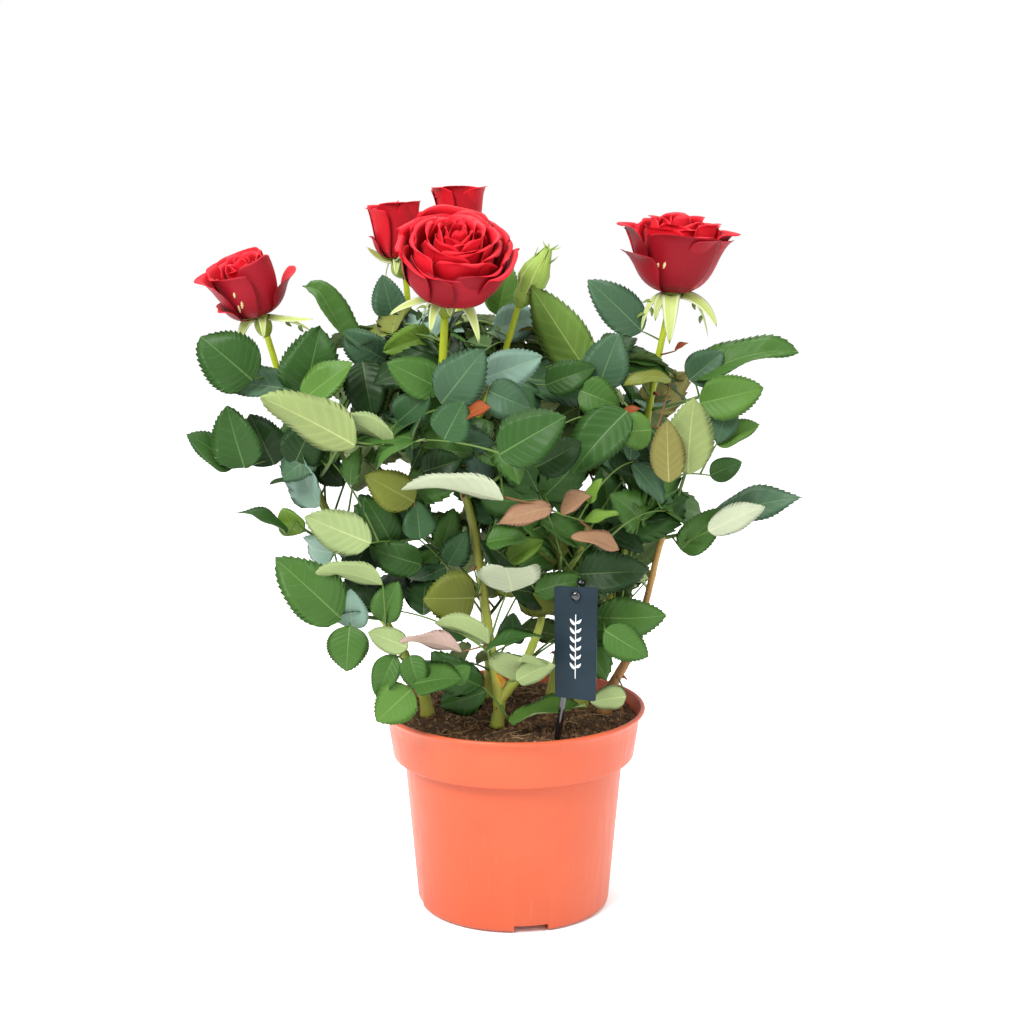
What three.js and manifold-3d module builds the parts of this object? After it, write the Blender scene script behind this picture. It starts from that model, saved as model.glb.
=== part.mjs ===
// A potted rose bush with red blooms: pot, soil, canes, blooms, masses of foliage and a plant label.
// Millimetres. The origin is the centre of the pot's flat underside, +Z is up and -Y is the front.
import * as THREE from 'three';
import { mergeVertices } from 'three/addons/utils/BufferGeometryUtils.js';
import Module from 'manifold-3d';

const wasm = await Module();
wasm.setup();

// ---- Driving dimensions ----

const GAP = 0.3; // left between solids that touch
const MASS_GAP = 0.7; // left between a mass of leaves and its neighbours

const POT = {
  height: 132,
  rimRadius: 85,
  rimRound: 1.6,
  collarTopRadius: 81.4,
  collarFootRadius: 78,
  collarFoot: 100,
  collarEdge: 1.5,
  bodyTopRadius: 70.6,
  footRadius: 62.4,
  footRound: 4,
  wall: 2,
  floor: 7,
  sides: 28,
};
const DRAIN = { count: 4, width: 22, height: 5, padRadius: 22, holeRadius: 4, holeAt: 42, firstAngle: -79.5 };
const SOIL = { level: 126.5, rimLevel: 124, flatRadius: 66 };
const GROUND = SOIL.level + GAP; // the canes' flat cuts

const LABEL = {
  width: 26.5,
  height: 70,
  thick: 0.9,
  at: [37.6, -72, 191],
  yaw: -10,
  twist: 14,
  holeRadius: 2.4,
  holeBelowTop: 5.5,
};
const PICK = { foot: [26.6, -61, GROUND], tip: [41, -66, 229], width: 4.4, pegRadius: 2.1, pegHead: 3.1 };

const LIMB = { sides: 6, step: 30, flareHeight: 9 };
const MASS = { detail: 2, lump: 0.17, tipSpread: 0.5 };
const BLOOM = { sides: 14, petals: 5, ruffle: 0.05 };

const COLOUR = {
  pot: 0xf58a66,
  soil: 0x3a2c22,
  cane: 0x7f9a3f,
  wood: 0x9a7346,
  petal: 0xb3122a,
  hip: 0x8aa653,
  leaf: 0x2f5a38,
  label: 0x28363f,
  pick: 0x101214,
};

// Canes that rise from the soil. Each runs whole through its points, from its foot to its tip.
const CANES = {
  front_cane: {
    along: [[-10.5, -34, GROUND], [-9, -34, 143], [-14.7, -38, 184], [-25.6, -39, 260], [-36, -40, 298],
      [-42.8, -42, 343], [-41.6, -42, 384]],
    foot: 4.6, tip: 2.4, flare: 2.4, colour: COLOUR.cane,
  },
  left_cane: {
    along: [[-55, -10, GROUND], [-58, -10, 142], [-90, -10, 205], [-117.5, -10, 260], [-135, -10, 308],
      [-143.6, -10, 339], [-152.6, -10, 370]],
    foot: 4, tip: 2, flare: 2, colour: COLOUR.cane,
  },
  right_woody_cane: {
    along: [[58.3, -5, GROUND], [62, -5, 142], [75.7, -8, 170], [85, -9, 205], [92.5, -10, 239], [100, -10, 262]],
    foot: 3.6, tip: 2, flare: 1.6, colour: COLOUR.wood,
  },
  right_cane: {
    along: [[44, 12, GROUND], [46, 11, 142], [62, 4, 200], [75.3, 0, 252], [79.4, 0, 281], [88.6, 0, 346],
      [95.9, 0, 383]],
    foot: 3.6, tip: 2, flare: 1.8, colour: COLOUR.cane,
  },
  back_cane: {
    along: [[-14, 32, GROUND], [-15, 33, 142], [-22, 45, 210], [-30, 58, 280], [-36, 68, 350], [-34, 75, 409]],
    foot: 4.2, tip: 2, flare: 2.2, colour: COLOUR.cane,
  },
  back_right_cane: {
    along: [[26, 36, GROUND], [28, 38, 142], [40, 52, 210], [58, 66, 270]],
    foot: 3.4, tip: 2.2, flare: 1.6, colour: COLOUR.cane,
  },
};

// Boughs that leave a cane. Each starts inside the cane and is trimmed to its surface.
const BOUGHS = {
  front_bough: {
    from: 'front_cane',
    along: [[-9, -34, 143], [3.4, -36, 162], [14.6, -38, 188], [21.3, -40, 211], [40.8, -44, 242], [46, -46, 258]],
    foot: 3.2, tip: 2, colour: COLOUR.cane,
  },
  bud_bough: {
    from: 'front_cane',
    along: [[-33.5, -40, 287], [-26, -30, 312], [-14, -12, 338], [-6.6, -5, 357], [2.8, -5, 388]],
    foot: 2.4, tip: 1.9, colour: COLOUR.cane,
  },
  back_left_bough: {
    from: 'back_cane',
    along: [[-27, 53, 252], [-44, 52, 300], [-60, 54, 345], [-66.2, 55, 368], [-70, 55, 401.5]],
    foot: 2.6, tip: 1.9, colour: COLOUR.cane,
  },
};

// Blooms: foot of the hip, foot and top of the petals, and the radii of the cup.
const BLOOMS = {
  left: { hip: [-153, -10, 371], foot: [-156.6, -10, 384], top: [-166, -12, 426], rim: 27, belly: 0.72 },
  back_left: { hip: [-70.2, 55, 402.5], foot: [-75.4, 55, 415], top: [-77, 54, 453], rim: 17, belly: 0.8 },
  front: { hip: [-41.5, -42, 385], foot: [-40, -43, 395], top: [-33, -70, 438], rim: 40, belly: 0.86 },
  back: { hip: [-34, 75, 410], foot: [-34.5, 75, 422], top: [-36, 74, 462], rim: 18.5, belly: 0.82 },
  right: { hip: [96.1, 0, 384], foot: [98.6, 0, 397], top: [102.5, -2, 443], rim: 37, belly: 0.7 },
};
const HIP = { radius: 5.6, neck: 2.6, shoulder: 7, sides: 8 };
const HIP_TOP = 0.24; // of the bloom's rim
const BUD = { foot: [2.9, -5, 388.6], top: [21.5, -5, 424.5], radius: 9.8, neck: 2.6 };

// Masses of foliage: centre, half sizes, lean in degrees about the front-to-back axis, and furthest leaf tips.
const MASSES = {
  front_centre_mass: { at: [4, -78, 308], half: [48, 27, 27], lean: -6, tips: [[22, -112, 302], [-22, -108, 296]] },
  front_left_mass: { at: [-98, -70, 316], half: [40, 27, 21], lean: 12, tips: [[-148, -72, 333]] },
  top_front_mass: { at: [-42, -58, 348], half: [44, 24, 19], lean: -4, tips: [[-72, -78, 354]] },
  heart_mass: { at: [-14, -4, 290], half: [44, 40, 36], lean: 0, tips: [] },
  left_heart_mass: { at: [-74, -36, 250], half: [36, 38, 42], lean: 20, tips: [[-80, -84, 240]] },
  right_heart_mass: { at: [88, -14, 250], half: [34, 40, 36], lean: -10, tips: [[112, -60, 240]] },
  low_heart_mass: { at: [30, -52, 246], half: [33, 36, 33], lean: 0, tips: [[4, -96, 234]] },
  low_centre_mass: { at: [-16, -66, 186], half: [36, 23, 24], lean: 4, tips: [[-52, -86, 186]] },
  upper_left_mass: { at: [-148, -18, 352], half: [42, 30, 21], lean: 4, tips: [[-193, -15, 372], [-190, -15, 345]] },
  mid_left_mass: { at: [-150, -22, 306], half: [44, 34, 23], lean: 0, tips: [[-201, -20, 309], [-163, -26, 328]] },
  low_left_mass: { at: [-128, -30, 257], half: [34, 30, 19], lean: -4, tips: [[-170, -30, 262]] },
  bottom_left_mass: { at: [-110, -52, 214], half: [32, 28, 31], lean: 14, tips: [[-147, -44, 234], [-104, -62, 175]] },
  left_skirt_mass: { at: [-56, -62, 172], half: [30, 23, 25], lean: 0, tips: [[-82, -66, 141]] },
  top_left_mass: { at: [-90, 4, 350], half: [37, 38, 29], lean: 10, tips: [[-124, 2, 399], [-72, 34, 402]] },
  crown_mass: { at: [20, 30, 350], half: [40, 33, 35], lean: 0, tips: [[16, 14, 400], [-20, 26, 402]] },
  upper_right_mass: { at: [76, -12, 334], half: [33, 38, 32], lean: -6, tips: [[50, 4, 401]] },
  far_upper_right_mass: { at: [136, -6, 342], half: [34, 28, 20], lean: -12, tips: [[177, -5, 361], [148, -6, 322]] },
  mid_right_mass: { at: [110, -36, 304], half: [36, 32, 25], lean: 6, tips: [[148, -30, 317]] },
  far_right_mass: { at: [142, -6, 260], half: [34, 28, 17], lean: -6, tips: [[180, 0, 270]] },
  bottom_right_mass: { at: [72, -34, 192], half: [22, 25, 30], lean: 8, tips: [[88, -50, 172]] },
  back_mass: { at: [2, 104, 300], half: [46, 40, 40], lean: 0, tips: [[10, 150, 318]] },
  back_top_mass: { at: [-30, 84, 348], half: [38, 32, 27], lean: 0, tips: [[-14, 108, 378]] },
  back_left_mass: { at: [-98, 64, 310], half: [42, 40, 36], lean: 10, tips: [[-142, 92, 326]] },
  back_right_mass: { at: [84, 70, 312], half: [42, 40, 38], lean: -8, tips: [[128, 98, 338]] },
  low_back_left_mass: { at: [-66, 62, 236], half: [38, 36, 32], lean: 16, tips: [[-104, 92, 222]] },
  low_back_right_mass: { at: [66, 68, 232], half: [38, 36, 32], lean: -14, tips: [[104, 96, 226]] },
  low_back_mass: { at: [0, 72, 198], half: [32, 28, 26], lean: 0, tips: [[-6, 104, 176]] },
};

// ---- Solids ----

const vector = (point) => new THREE.Vector3(...point);

function bareGeometry(geometry) {
  const bare = geometry.clone();
  bare.deleteAttribute('normal');
  bare.deleteAttribute('uv');
  return mergeVertices(bare, 1e-4);
}

function solidOf(geometry) {
  const merged = bareGeometry(geometry);
  const corners = [];
  const index = merged.index.array;
  for (let i = 0; i < index.length; i += 3) {
    const [a, b, c] = index.slice(i, i + 3);
    if (a !== b && b !== c && c !== a) corners.push(a, b, c);
  }
  return new wasm.Manifold(new wasm.Mesh({
    numProp: 3,
    vertProperties: new Float32Array(merged.attributes.position.array),
    triVerts: new Uint32Array(corners),
  }));
}

function geometryOf(solid) {
  const mesh = solid.getMesh();
  const geometry = new THREE.BufferGeometry();
  geometry.setAttribute('position', new THREE.BufferAttribute(mesh.vertProperties, 3));
  geometry.setIndex(new THREE.BufferAttribute(mesh.triVerts, 1));
  geometry.computeVertexNormals();
  return geometry;
}

function largestPiece(solid) {
  const pieces = solid.decompose();
  return pieces.reduce((best, piece) => (piece.volume() > best.volume() ? piece : best));
}

// A solid of revolution about +Z from a profile of (radius, height) points that starts and ends on the axis.
function turned(points, sides) {
  return new THREE.LatheGeometry(points, sides).rotateX(Math.PI / 2);
}

// Moves geometry built about +Z so that it stands on a foot and points at a top.
function stoodOn(geometry, foot, top) {
  const up = new THREE.Vector3(0, 0, 1);
  const axis = vector(top).sub(vector(foot)).normalize();
  return geometry.applyQuaternion(new THREE.Quaternion().setFromUnitVectors(up, axis)).translate(...foot);
}

// ---- Pot and soil ----

function potOutline() {
  const path = new THREE.Path();
  const { footRadius, footRound, collarFoot, collarEdge, rimRadius, rimRound, height } = POT;
  path.moveTo(0, 0);
  path.lineTo(footRadius - footRound, 0);
  path.absarc(footRadius - footRound, footRound, footRound, -Math.PI / 2, 0);
  path.lineTo(POT.bodyTopRadius, collarFoot);
  path.lineTo(POT.collarFootRadius - collarEdge, collarFoot);
  path.lineTo(POT.collarFootRadius, collarFoot + collarEdge);
  path.lineTo(POT.collarTopRadius, height - 3.5 * rimRound);
  path.lineTo(rimRadius - 0.4, height - 2 * rimRound);
  path.absarc(rimRadius - rimRound, height - rimRound, rimRound, 0, Math.PI);
  return path.getPoints(2);
}

// The pot's inner wall from the rim down to the floor, moved inwards by a clearance.
function innerWall(clearance) {
  const { wall, floor, collarFoot, height } = POT;
  const floorRadius = POT.footRadius + (POT.bodyTopRadius - POT.footRadius) * floor / collarFoot - wall;
  const step = collarFoot + wall + clearance;
  return [
    new THREE.Vector2(POT.collarTopRadius - wall * 0.6 - clearance, height - POT.rimRound * 3),
    new THREE.Vector2(POT.collarFootRadius - wall - clearance, step),
    new THREE.Vector2(POT.bodyTopRadius - wall - clearance, step),
    new THREE.Vector2(floorRadius - clearance, floor + clearance),
    new THREE.Vector2(0, floor + clearance),
  ];
}

function potSolid() {
  let pot = solidOf(turned([...potOutline(), ...innerWall(0)], POT.sides));
  const reach = POT.footRadius - DRAIN.padRadius + 10;
  for (let i = 0; i < DRAIN.count; i += 1) {
    const angle = THREE.MathUtils.degToRad(DRAIN.firstAngle + (i * 360) / DRAIN.count);
    const notch = new THREE.BoxGeometry(reach, DRAIN.width, DRAIN.height * 2);
    notch.translate(DRAIN.padRadius + reach / 2, 0, 0).rotateZ(angle);
    const hole = new THREE.CylinderGeometry(DRAIN.holeRadius, DRAIN.holeRadius, POT.floor * 3, 8);
    hole.rotateX(Math.PI / 2).translate(DRAIN.holeAt, 0, 0).rotateZ(angle);
    pot = pot.subtract(solidOf(notch)).subtract(solidOf(hole));
  }
  return pot;
}

function soilSolid() {
  const [rim, ...wall] = innerWall(GAP);
  const slope = (rim.x - wall[0].x) / (rim.y - wall[0].y);
  const edgeRadius = wall[0].x + slope * (SOIL.rimLevel - wall[0].y);
  const outline = [
    new THREE.Vector2(0, SOIL.level),
    new THREE.Vector2(SOIL.flatRadius, SOIL.level),
    new THREE.Vector2(edgeRadius, SOIL.rimLevel),
    ...wall,
  ];
  return solidOf(turned(outline.reverse(), POT.sides));
}

// ---- Canes and boughs ----

function limbSolid(limb, grow = 0) {
  const curve = new THREE.CatmullRomCurve3(limb.along.map(vector), false, 'centripetal');
  const length = curve.getLength();
  const steps = Math.ceil(length / LIMB.step);
  const frames = curve.computeFrenetFrames(steps);
  const geometry = bareGeometry(new THREE.CylinderGeometry(1, 1, 1, LIMB.sides, steps));
  const place = geometry.attributes.position;
  for (let i = 0; i < place.count; i += 1) {
    const ring = Math.round((place.getY(i) + 0.5) * steps);
    const t = ring / steps;
    const flare = (limb.flare ?? 0) * Math.exp((-t * length) / LIMB.flareHeight);
    const radius = THREE.MathUtils.lerp(limb.foot, limb.tip, t) + flare + grow;
    const point = curve.getPointAt(t);
    point.addScaledVector(frames.tangents[ring], ring === steps ? grow : 0);
    point.addScaledVector(frames.normals[ring], place.getX(i) * radius);
    point.addScaledVector(frames.binormals[ring], -place.getZ(i) * radius);
    if (ring === 0 && limb.flare) point.z = GROUND - grow;
    place.setXYZ(i, ...point.toArray());
  }
  return solidOf(geometry);
}

// ---- Blooms, hips and bud ----

function bloomSolid(bloom, grow = 0) {
  const height = vector(bloom.top).distanceTo(vector(bloom.foot));
  const { rim, belly } = bloom;
  const cup = [[0, 0], [HIP_TOP, 0], [belly * 0.8, 0.16], [belly, 0.42], [(belly + 1) / 2 + 0.04, 0.7],
    [1, 0.9], [0.72, 1], [0, 0.93]];
  const points = cup.map(([out, up]) => new THREE.Vector2(out * rim, up * height));
  const geometry = bareGeometry(turned(points, BLOOM.sides));
  const place = geometry.attributes.position;
  for (let i = 0; i < place.count; i += 1) {
    const point = new THREE.Vector3().fromBufferAttribute(place, i);
    const angle = Math.atan2(point.y, point.x);
    const open = point.z / height;
    const ruffle = 1 + BLOOM.ruffle * open * Math.cos(BLOOM.petals * angle + 2 * open);
    const out = Math.hypot(point.x, point.y);
    const swell = out > 0 ? ruffle + grow / out : 1;
    const lift = open > 0.5 ? grow : -grow;
    place.setXYZ(i, point.x * swell, point.y * swell, point.z + lift);
  }
  return solidOf(stoodOn(geometry, bloom.foot, bloom.top));
}

function hipSolid(bloom, grow = 0) {
  const height = vector(bloom.foot).distanceTo(vector(bloom.hip)) - 2 * GAP;
  const top = HIP_TOP * bloom.rim;
  const points = [
    new THREE.Vector2(0, -grow),
    new THREE.Vector2(HIP.neck + grow, -grow),
    new THREE.Vector2(HIP.radius + grow, height * 0.45),
    new THREE.Vector2(Math.min(top, HIP.shoulder) + grow, height + grow),
    new THREE.Vector2(0, height + grow),
  ];
  return solidOf(stoodOn(turned(points, HIP.sides), bloom.hip, bloom.foot));
}

function budSolid(grow = 0) {
  const height = vector(BUD.top).distanceTo(vector(BUD.foot));
  const outline = [[0, 0], [BUD.neck, 0], [0.62 * BUD.radius, 0.1 * height], [0.62 * BUD.radius, 0.24 * height],
    [BUD.radius, 0.45 * height], [0.82 * BUD.radius, 0.68 * height], [0.24 * BUD.radius, 0.96 * height],
    [0, height]];
  const points = outline.map(([out, up]) => new THREE.Vector2(out > 0 ? out + grow : 0, up));
  return solidOf(stoodOn(turned(points, 12), BUD.foot, BUD.top));
}

// ---- Masses of foliage ----

// A smooth repeatable lumpiness of about -1 to 1 over directions, different for each seed.
function lumpiness(direction, seed) {
  let sum = 0;
  for (let k = 1; k <= 4; k += 1) {
    const turn = seed * 1.7 + k * 2.4;
    const axis = new THREE.Vector3(Math.cos(turn), Math.sin(turn), Math.cos(turn * 1.3 + k)).normalize();
    sum += Math.sin((2.2 + 1.1 * k) * direction.dot(axis) + turn) / Math.sqrt(k);
  }
  return sum / 2;
}

function massSolid(mass, seed, grow = 0) {
  const geometry = bareGeometry(new THREE.IcosahedronGeometry(1, MASS.detail));
  const place = geometry.attributes.position;
  const lean = new THREE.Euler(0, THREE.MathUtils.degToRad(mass.lean), 0);
  for (let i = 0; i < place.count; i += 1) {
    const direction = new THREE.Vector3().fromBufferAttribute(place, i).normalize();
    const swell = 1 + MASS.lump * lumpiness(direction, seed);
    const point = direction.clone().multiply(vector(mass.half)).multiplyScalar(swell).applyEuler(lean);
    const reach = point.length();
    const outward = point.clone().normalize();
    let length = reach;
    for (const tip of mass.tips) {
      const to = vector(tip).sub(vector(mass.at));
      const near = THREE.MathUtils.smoothstep(outward.dot(to.clone().normalize()), 1 - MASS.tipSpread * 0.4, 1);
      length += Math.max(0, to.length() - reach) * near ** 2;
    }
    point.copy(outward).multiplyScalar(length + grow).add(vector(mass.at));
    place.setXYZ(i, ...point.toArray());
  }
  return solidOf(geometry);
}

// ---- Label ----

// A thin upright plate, turned more at its foot than at its top.
function plateGeometry(thick) {
  const { width, height, at, yaw, twist } = LABEL;
  const geometry = bareGeometry(new THREE.BoxGeometry(width, thick, height, 1, 1, 4));
  const place = geometry.attributes.position;
  for (let i = 0; i < place.count; i += 1) {
    const point = new THREE.Vector3().fromBufferAttribute(place, i);
    const turn = yaw - twist * (0.5 - point.z / height);
    point.applyEuler(new THREE.Euler(0, 0, THREE.MathUtils.degToRad(turn)));
    place.setXYZ(i, ...point.add(vector(at)).toArray());
  }
  return geometry;
}

function rod(radius, from, to, sides) {
  const length = vector(to).distanceTo(vector(from));
  const geometry = new THREE.CylinderGeometry(radius, radius, length, sides);
  return stoodOn(geometry.rotateX(Math.PI / 2).translate(0, 0, length / 2), from, to);
}

function labelSolids() {
  const [x, y, z] = LABEL.at;
  const holeHeight = z + LABEL.height / 2 - LABEL.holeBelowTop;
  const front = y - LABEL.thick / 2;
  const back = y + LABEL.thick / 2;
  const hole = rod(LABEL.holeRadius, [x, front - 6, holeHeight], [x, back + 6, holeHeight], 8);
  const plate = solidOf(plateGeometry(LABEL.thick)).subtract(solidOf(hole));

  const { foot, tip, width, pegRadius, pegHead } = PICK;
  const length = vector(tip).distanceTo(vector(foot));
  const stick = new THREE.BoxGeometry(width, width * 0.7, length).translate(0, 0, length / 2);
  const level = new THREE.BoxGeometry(60, 60, 20).translate(foot[0], foot[1], GROUND - 10);
  const pick = solidOf(stoodOn(stick, [foot[0], foot[1], GROUND - 2], tip)).subtract(solidOf(level));

  const head = rod(pegHead, [x, front - 2.6, holeHeight], [x, front - 0.9, holeHeight], 8);
  const shank = rod(pegRadius, [x, front - 1.4, holeHeight], [x, back + 8, holeHeight], 8);
  const tilt = vector(tip).sub(vector(foot));
  const along = tilt.clone().normalize();
  const clear = new THREE.BoxGeometry(width + 1, width * 0.7 + 2 * GAP, length + 20).translate(0, 0, length / 2);
  const keepOut = stoodOn(clear, vector(foot).addScaledVector(along, -2).toArray(), tip);
  const peg = largestPiece(solidOf(head).add(solidOf(shank)).subtract(solidOf(keepOut)));
  return { label_plate: plate, label_pick: pick, label_peg: peg };
}

// ---- Assembly ----

const roseBush = new THREE.Group();

function addNode(name, solid, colour, roughness) {
  const material = new THREE.MeshStandardMaterial({ color: colour, roughness, metalness: 0 });
  const mesh = new THREE.Mesh(geometryOf(solid), material);
  mesh.name = name;
  roseBush.add(mesh);
}

addNode('pot', potSolid(), COLOUR.pot, 0.45);
addNode('soil', soilSolid(), COLOUR.soil, 0.95);

// What the masses are cut round, a little larger than it is.
const cutters = [solidOf(plateGeometry(LABEL.thick + 2 * MASS_GAP))];
for (const [name, solid] of Object.entries(labelSolids())) {
  addNode(name, solid, name === 'label_plate' ? COLOUR.label : COLOUR.pick, 0.4);
  cutters.push(solid);
}

// The limbs stop short of the hips and the bud.
const heads = [budSolid(GAP)];
addNode('bud', budSolid(), COLOUR.hip, 0.5);
cutters.push(budSolid(MASS_GAP));
for (const [name, bloom] of Object.entries(BLOOMS)) {
  addNode(`${name}_hip`, largestPiece(hipSolid(bloom).subtract(bloomSolid(bloom, GAP))), COLOUR.hip, 0.5);
  addNode(`${name}_bloom`, bloomSolid(bloom), COLOUR.petal, 0.6);
  heads.push(hipSolid(bloom, GAP), bloomSolid(bloom, GAP));
  cutters.push(hipSolid(bloom, MASS_GAP), bloomSolid(bloom, MASS_GAP));
}

const trimmed = (solid, others) => largestPiece(others.reduce((rest, other) => rest.subtract(other), solid));

for (const [name, cane] of Object.entries(CANES)) {
  addNode(name, trimmed(limbSolid(cane), heads), cane.colour, 0.55);
  cutters.push(limbSolid(cane, MASS_GAP));
}
for (const [name, bough] of Object.entries(BOUGHS)) {
  const parent = limbSolid(CANES[bough.from], GAP);
  addNode(name, trimmed(limbSolid(bough), [parent, ...heads]), bough.colour, 0.55);
  cutters.push(limbSolid(bough, MASS_GAP));
}

// Each mass is cut round the limbs and blooms, and round the masses before it.
let seed = 1;
for (const [name, mass] of Object.entries(MASSES)) {
  const whole = massSolid(mass, seed);
  addNode(name, trimmed(whole, cutters), COLOUR.leaf, 0.6);
  cutters.push(massSolid(mass, seed, MASS_GAP));
  seed += 1;
}

export default roseBush;
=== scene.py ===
"""Looks for the potted rose bush. Lengths are in millimetres until a mesh is made, in the CAD frame."""

import math

import bmesh
import bpy
import numpy as np
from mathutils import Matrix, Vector
from mathutils.bvhtree import BVHTree


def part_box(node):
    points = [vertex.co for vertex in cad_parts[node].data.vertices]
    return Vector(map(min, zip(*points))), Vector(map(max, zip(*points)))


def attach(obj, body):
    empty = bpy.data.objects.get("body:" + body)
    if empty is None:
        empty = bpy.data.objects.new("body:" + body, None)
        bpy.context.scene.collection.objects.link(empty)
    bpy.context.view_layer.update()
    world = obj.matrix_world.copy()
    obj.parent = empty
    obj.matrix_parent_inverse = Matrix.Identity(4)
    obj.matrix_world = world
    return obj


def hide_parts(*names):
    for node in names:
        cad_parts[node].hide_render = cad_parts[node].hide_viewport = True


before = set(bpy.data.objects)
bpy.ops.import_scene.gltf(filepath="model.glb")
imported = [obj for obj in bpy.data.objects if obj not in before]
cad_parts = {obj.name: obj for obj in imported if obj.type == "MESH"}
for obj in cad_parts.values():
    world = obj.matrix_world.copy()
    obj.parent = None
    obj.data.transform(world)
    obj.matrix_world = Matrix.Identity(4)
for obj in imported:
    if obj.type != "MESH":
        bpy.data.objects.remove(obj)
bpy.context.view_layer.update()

MM = 0.001
UP = np.array((0.0, 0.0, 1.0))
GROUND = 126.8  # the canes' flat cuts, on the soil
GOLDEN_ANGLE = 2.39996

# ---- Small vector helpers ----


def vec(*values):
    return np.array(values, float)


def unit(vector):
    vector = np.asarray(vector, float)
    return vector / max(np.linalg.norm(vector), 1e-9)


def square_to(vector, axis):
    """The part of vector at right angles to a unit axis, as a unit vector."""
    return unit(vector - axis * np.dot(vector, axis))


def bearing(angle):
    """The level direction at an angle, in radians from +X towards +Y."""
    return vec(math.cos(angle), math.sin(angle), 0)


def circle(sides):
    """Evenly spaced angles once round."""
    return np.linspace(0, 2 * math.pi, sides, endpoint=False)


def run_lengths(path):
    """How far along a path each of its points is."""
    return np.concatenate([[0], np.cumsum(np.linalg.norm(np.diff(path, axis=0), axis=1))])


def points_at(at, lengths, path):
    """The points at other lengths along a path whose own points are at these lengths."""
    return np.stack([np.interp(at, lengths, path[:, k]) for k in range(3)], axis=-1)


def headings(path):
    """The unit direction of a path at each of its points."""
    steps = np.gradient(path, axis=0)
    return steps / np.linalg.norm(steps, axis=1)[:, None]


def smooth_path(points, step):
    """Evenly spaced points on the centripetal Catmull-Rom curve through points, about a step apart."""
    p = np.array(points, float)
    p = np.vstack([2 * p[0] - p[1], p, 2 * p[-1] - p[-2]])
    fine = []
    for i in range(1, len(p) - 2):
        a, b, c = (max(np.linalg.norm(p[i + k] - p[i + k - 1]), 1e-6) ** 0.5 for k in range(3))
        start = ((p[i] - p[i - 1]) / a - (p[i + 1] - p[i - 1]) / (a + b) + (p[i + 1] - p[i]) / b) * b
        end = ((p[i + 1] - p[i]) / b - (p[i + 2] - p[i]) / (b + c) + (p[i + 2] - p[i + 1]) / c) * b
        t = np.linspace(0, 1, 24, endpoint=False)[:, None]
        fine.append(
            (2 * t**3 - 3 * t**2 + 1) * p[i]
            + (t**3 - 2 * t**2 + t) * start
            + (3 * t**2 - 2 * t**3) * p[i + 1]
            + (t**3 - t**2) * end
        )
    fine = np.vstack([*fine, p[-2]])
    lengths = run_lengths(fine)
    at = np.linspace(0, lengths[-1], max(3, round(lengths[-1] / step) + 1))
    return points_at(at, lengths, fine)


def bezier(a, b, c, count):
    """Points from a to c on the curve that b pulls towards itself."""
    t = np.linspace(0, 1, count)[:, None]
    return (1 - t) ** 2 * a + 2 * t * (1 - t) * b + t**2 * c


# ---- Materials ----


SURFACE = 0.78  # the studio is bright, so a surface's own colour is this much of its code's


def linear(code):
    """The linear colour of a code such as "4a7d3c"."""
    parts = [int(code[i : i + 2], 16) / 255 for i in (0, 2, 4)]
    return tuple(SURFACE * (p / 12.92 if p <= 0.04045 else ((p + 0.055) / 1.055) ** 2.4) for p in parts)


def plain(name, code, roughness, **sockets):
    """A material of one colour. Other inputs are given by name, with _ for a space."""
    material = bpy.data.materials.new(name)
    material.use_nodes = True
    shader = material.node_tree.nodes["Principled BSDF"]
    shader.inputs["Base Color"].default_value = (*linear(code), 1)
    shader.inputs["Roughness"].default_value = roughness
    for socket, value in sockets.items():
        shader.inputs[socket.replace("_", " ")].default_value = value
    return material


class Nodes:
    """A few shorthands for building a patterned material on the object's own coordinates."""

    def __init__(self, material):
        self.tree = material.node_tree
        self.shader = self.tree.nodes["Principled BSDF"]
        self.place = self.tree.nodes.new("ShaderNodeTexCoord").outputs["Object"]

    def link(self, source, target):
        self.tree.links.new(source, target)

    def stretched(self, x, y, z):
        """The object's coordinates scaled, so that a pattern on them is long where the number is small."""
        node = self.tree.nodes.new("ShaderNodeMapping")
        node.inputs["Scale"].default_value = (x, y, z)
        self.link(self.place, node.inputs["Vector"])
        return node.outputs["Vector"]

    def noise(self, scale, detail=4.0, where=None):
        node = self.tree.nodes.new("ShaderNodeTexNoise")
        node.inputs["Scale"].default_value = scale
        node.inputs["Detail"].default_value = detail
        self.link(where or self.place, node.inputs["Vector"])
        return node.outputs["Fac"]

    def ramp(self, value, *stops):
        """stops are (position, colour code) pairs, or (position, grey number) pairs."""
        node = self.tree.nodes.new("ShaderNodeValToRGB")
        elements = node.color_ramp.elements
        while len(elements) < len(stops):
            elements.new(0.5)
        for element, (position, colour) in zip(elements, stops):
            element.position = position
            element.color = (*(linear(colour) if isinstance(colour, str) else (colour,) * 3), 1)
        self.link(value, node.inputs["Fac"])
        return node.outputs["Color"]

    def mix(self, share, a, b):
        node = self.tree.nodes.new("ShaderNodeMix")
        node.data_type = "RGBA"
        for value, socket in ((share, node.inputs[0]), (a, node.inputs[6]), (b, node.inputs[7])):
            self.link(value, socket)
        return node.outputs[2]

    def height(self, low, high):
        """0 at the height low, in metres, and 1 at high."""
        split = self.tree.nodes.new("ShaderNodeSeparateXYZ")
        self.link(self.place, split.inputs[0])
        node = self.tree.nodes.new("ShaderNodeMapRange")
        node.inputs["From Min"].default_value = low
        node.inputs["From Max"].default_value = high
        self.link(split.outputs["Z"], node.inputs["Value"])
        return node.outputs["Result"]

    def colour(self, value):
        self.link(value, self.shader.inputs["Base Color"])

    def roughness(self, value):
        self.link(value, self.shader.inputs["Roughness"])

    def bump(self, value, distance, strength=1.0):
        node = self.tree.nodes.new("ShaderNodeBump")
        node.inputs["Strength"].default_value = strength
        node.inputs["Distance"].default_value = distance
        self.link(value, node.inputs["Height"])
        self.link(node.outputs["Normal"], self.shader.inputs["Normal"])


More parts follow.
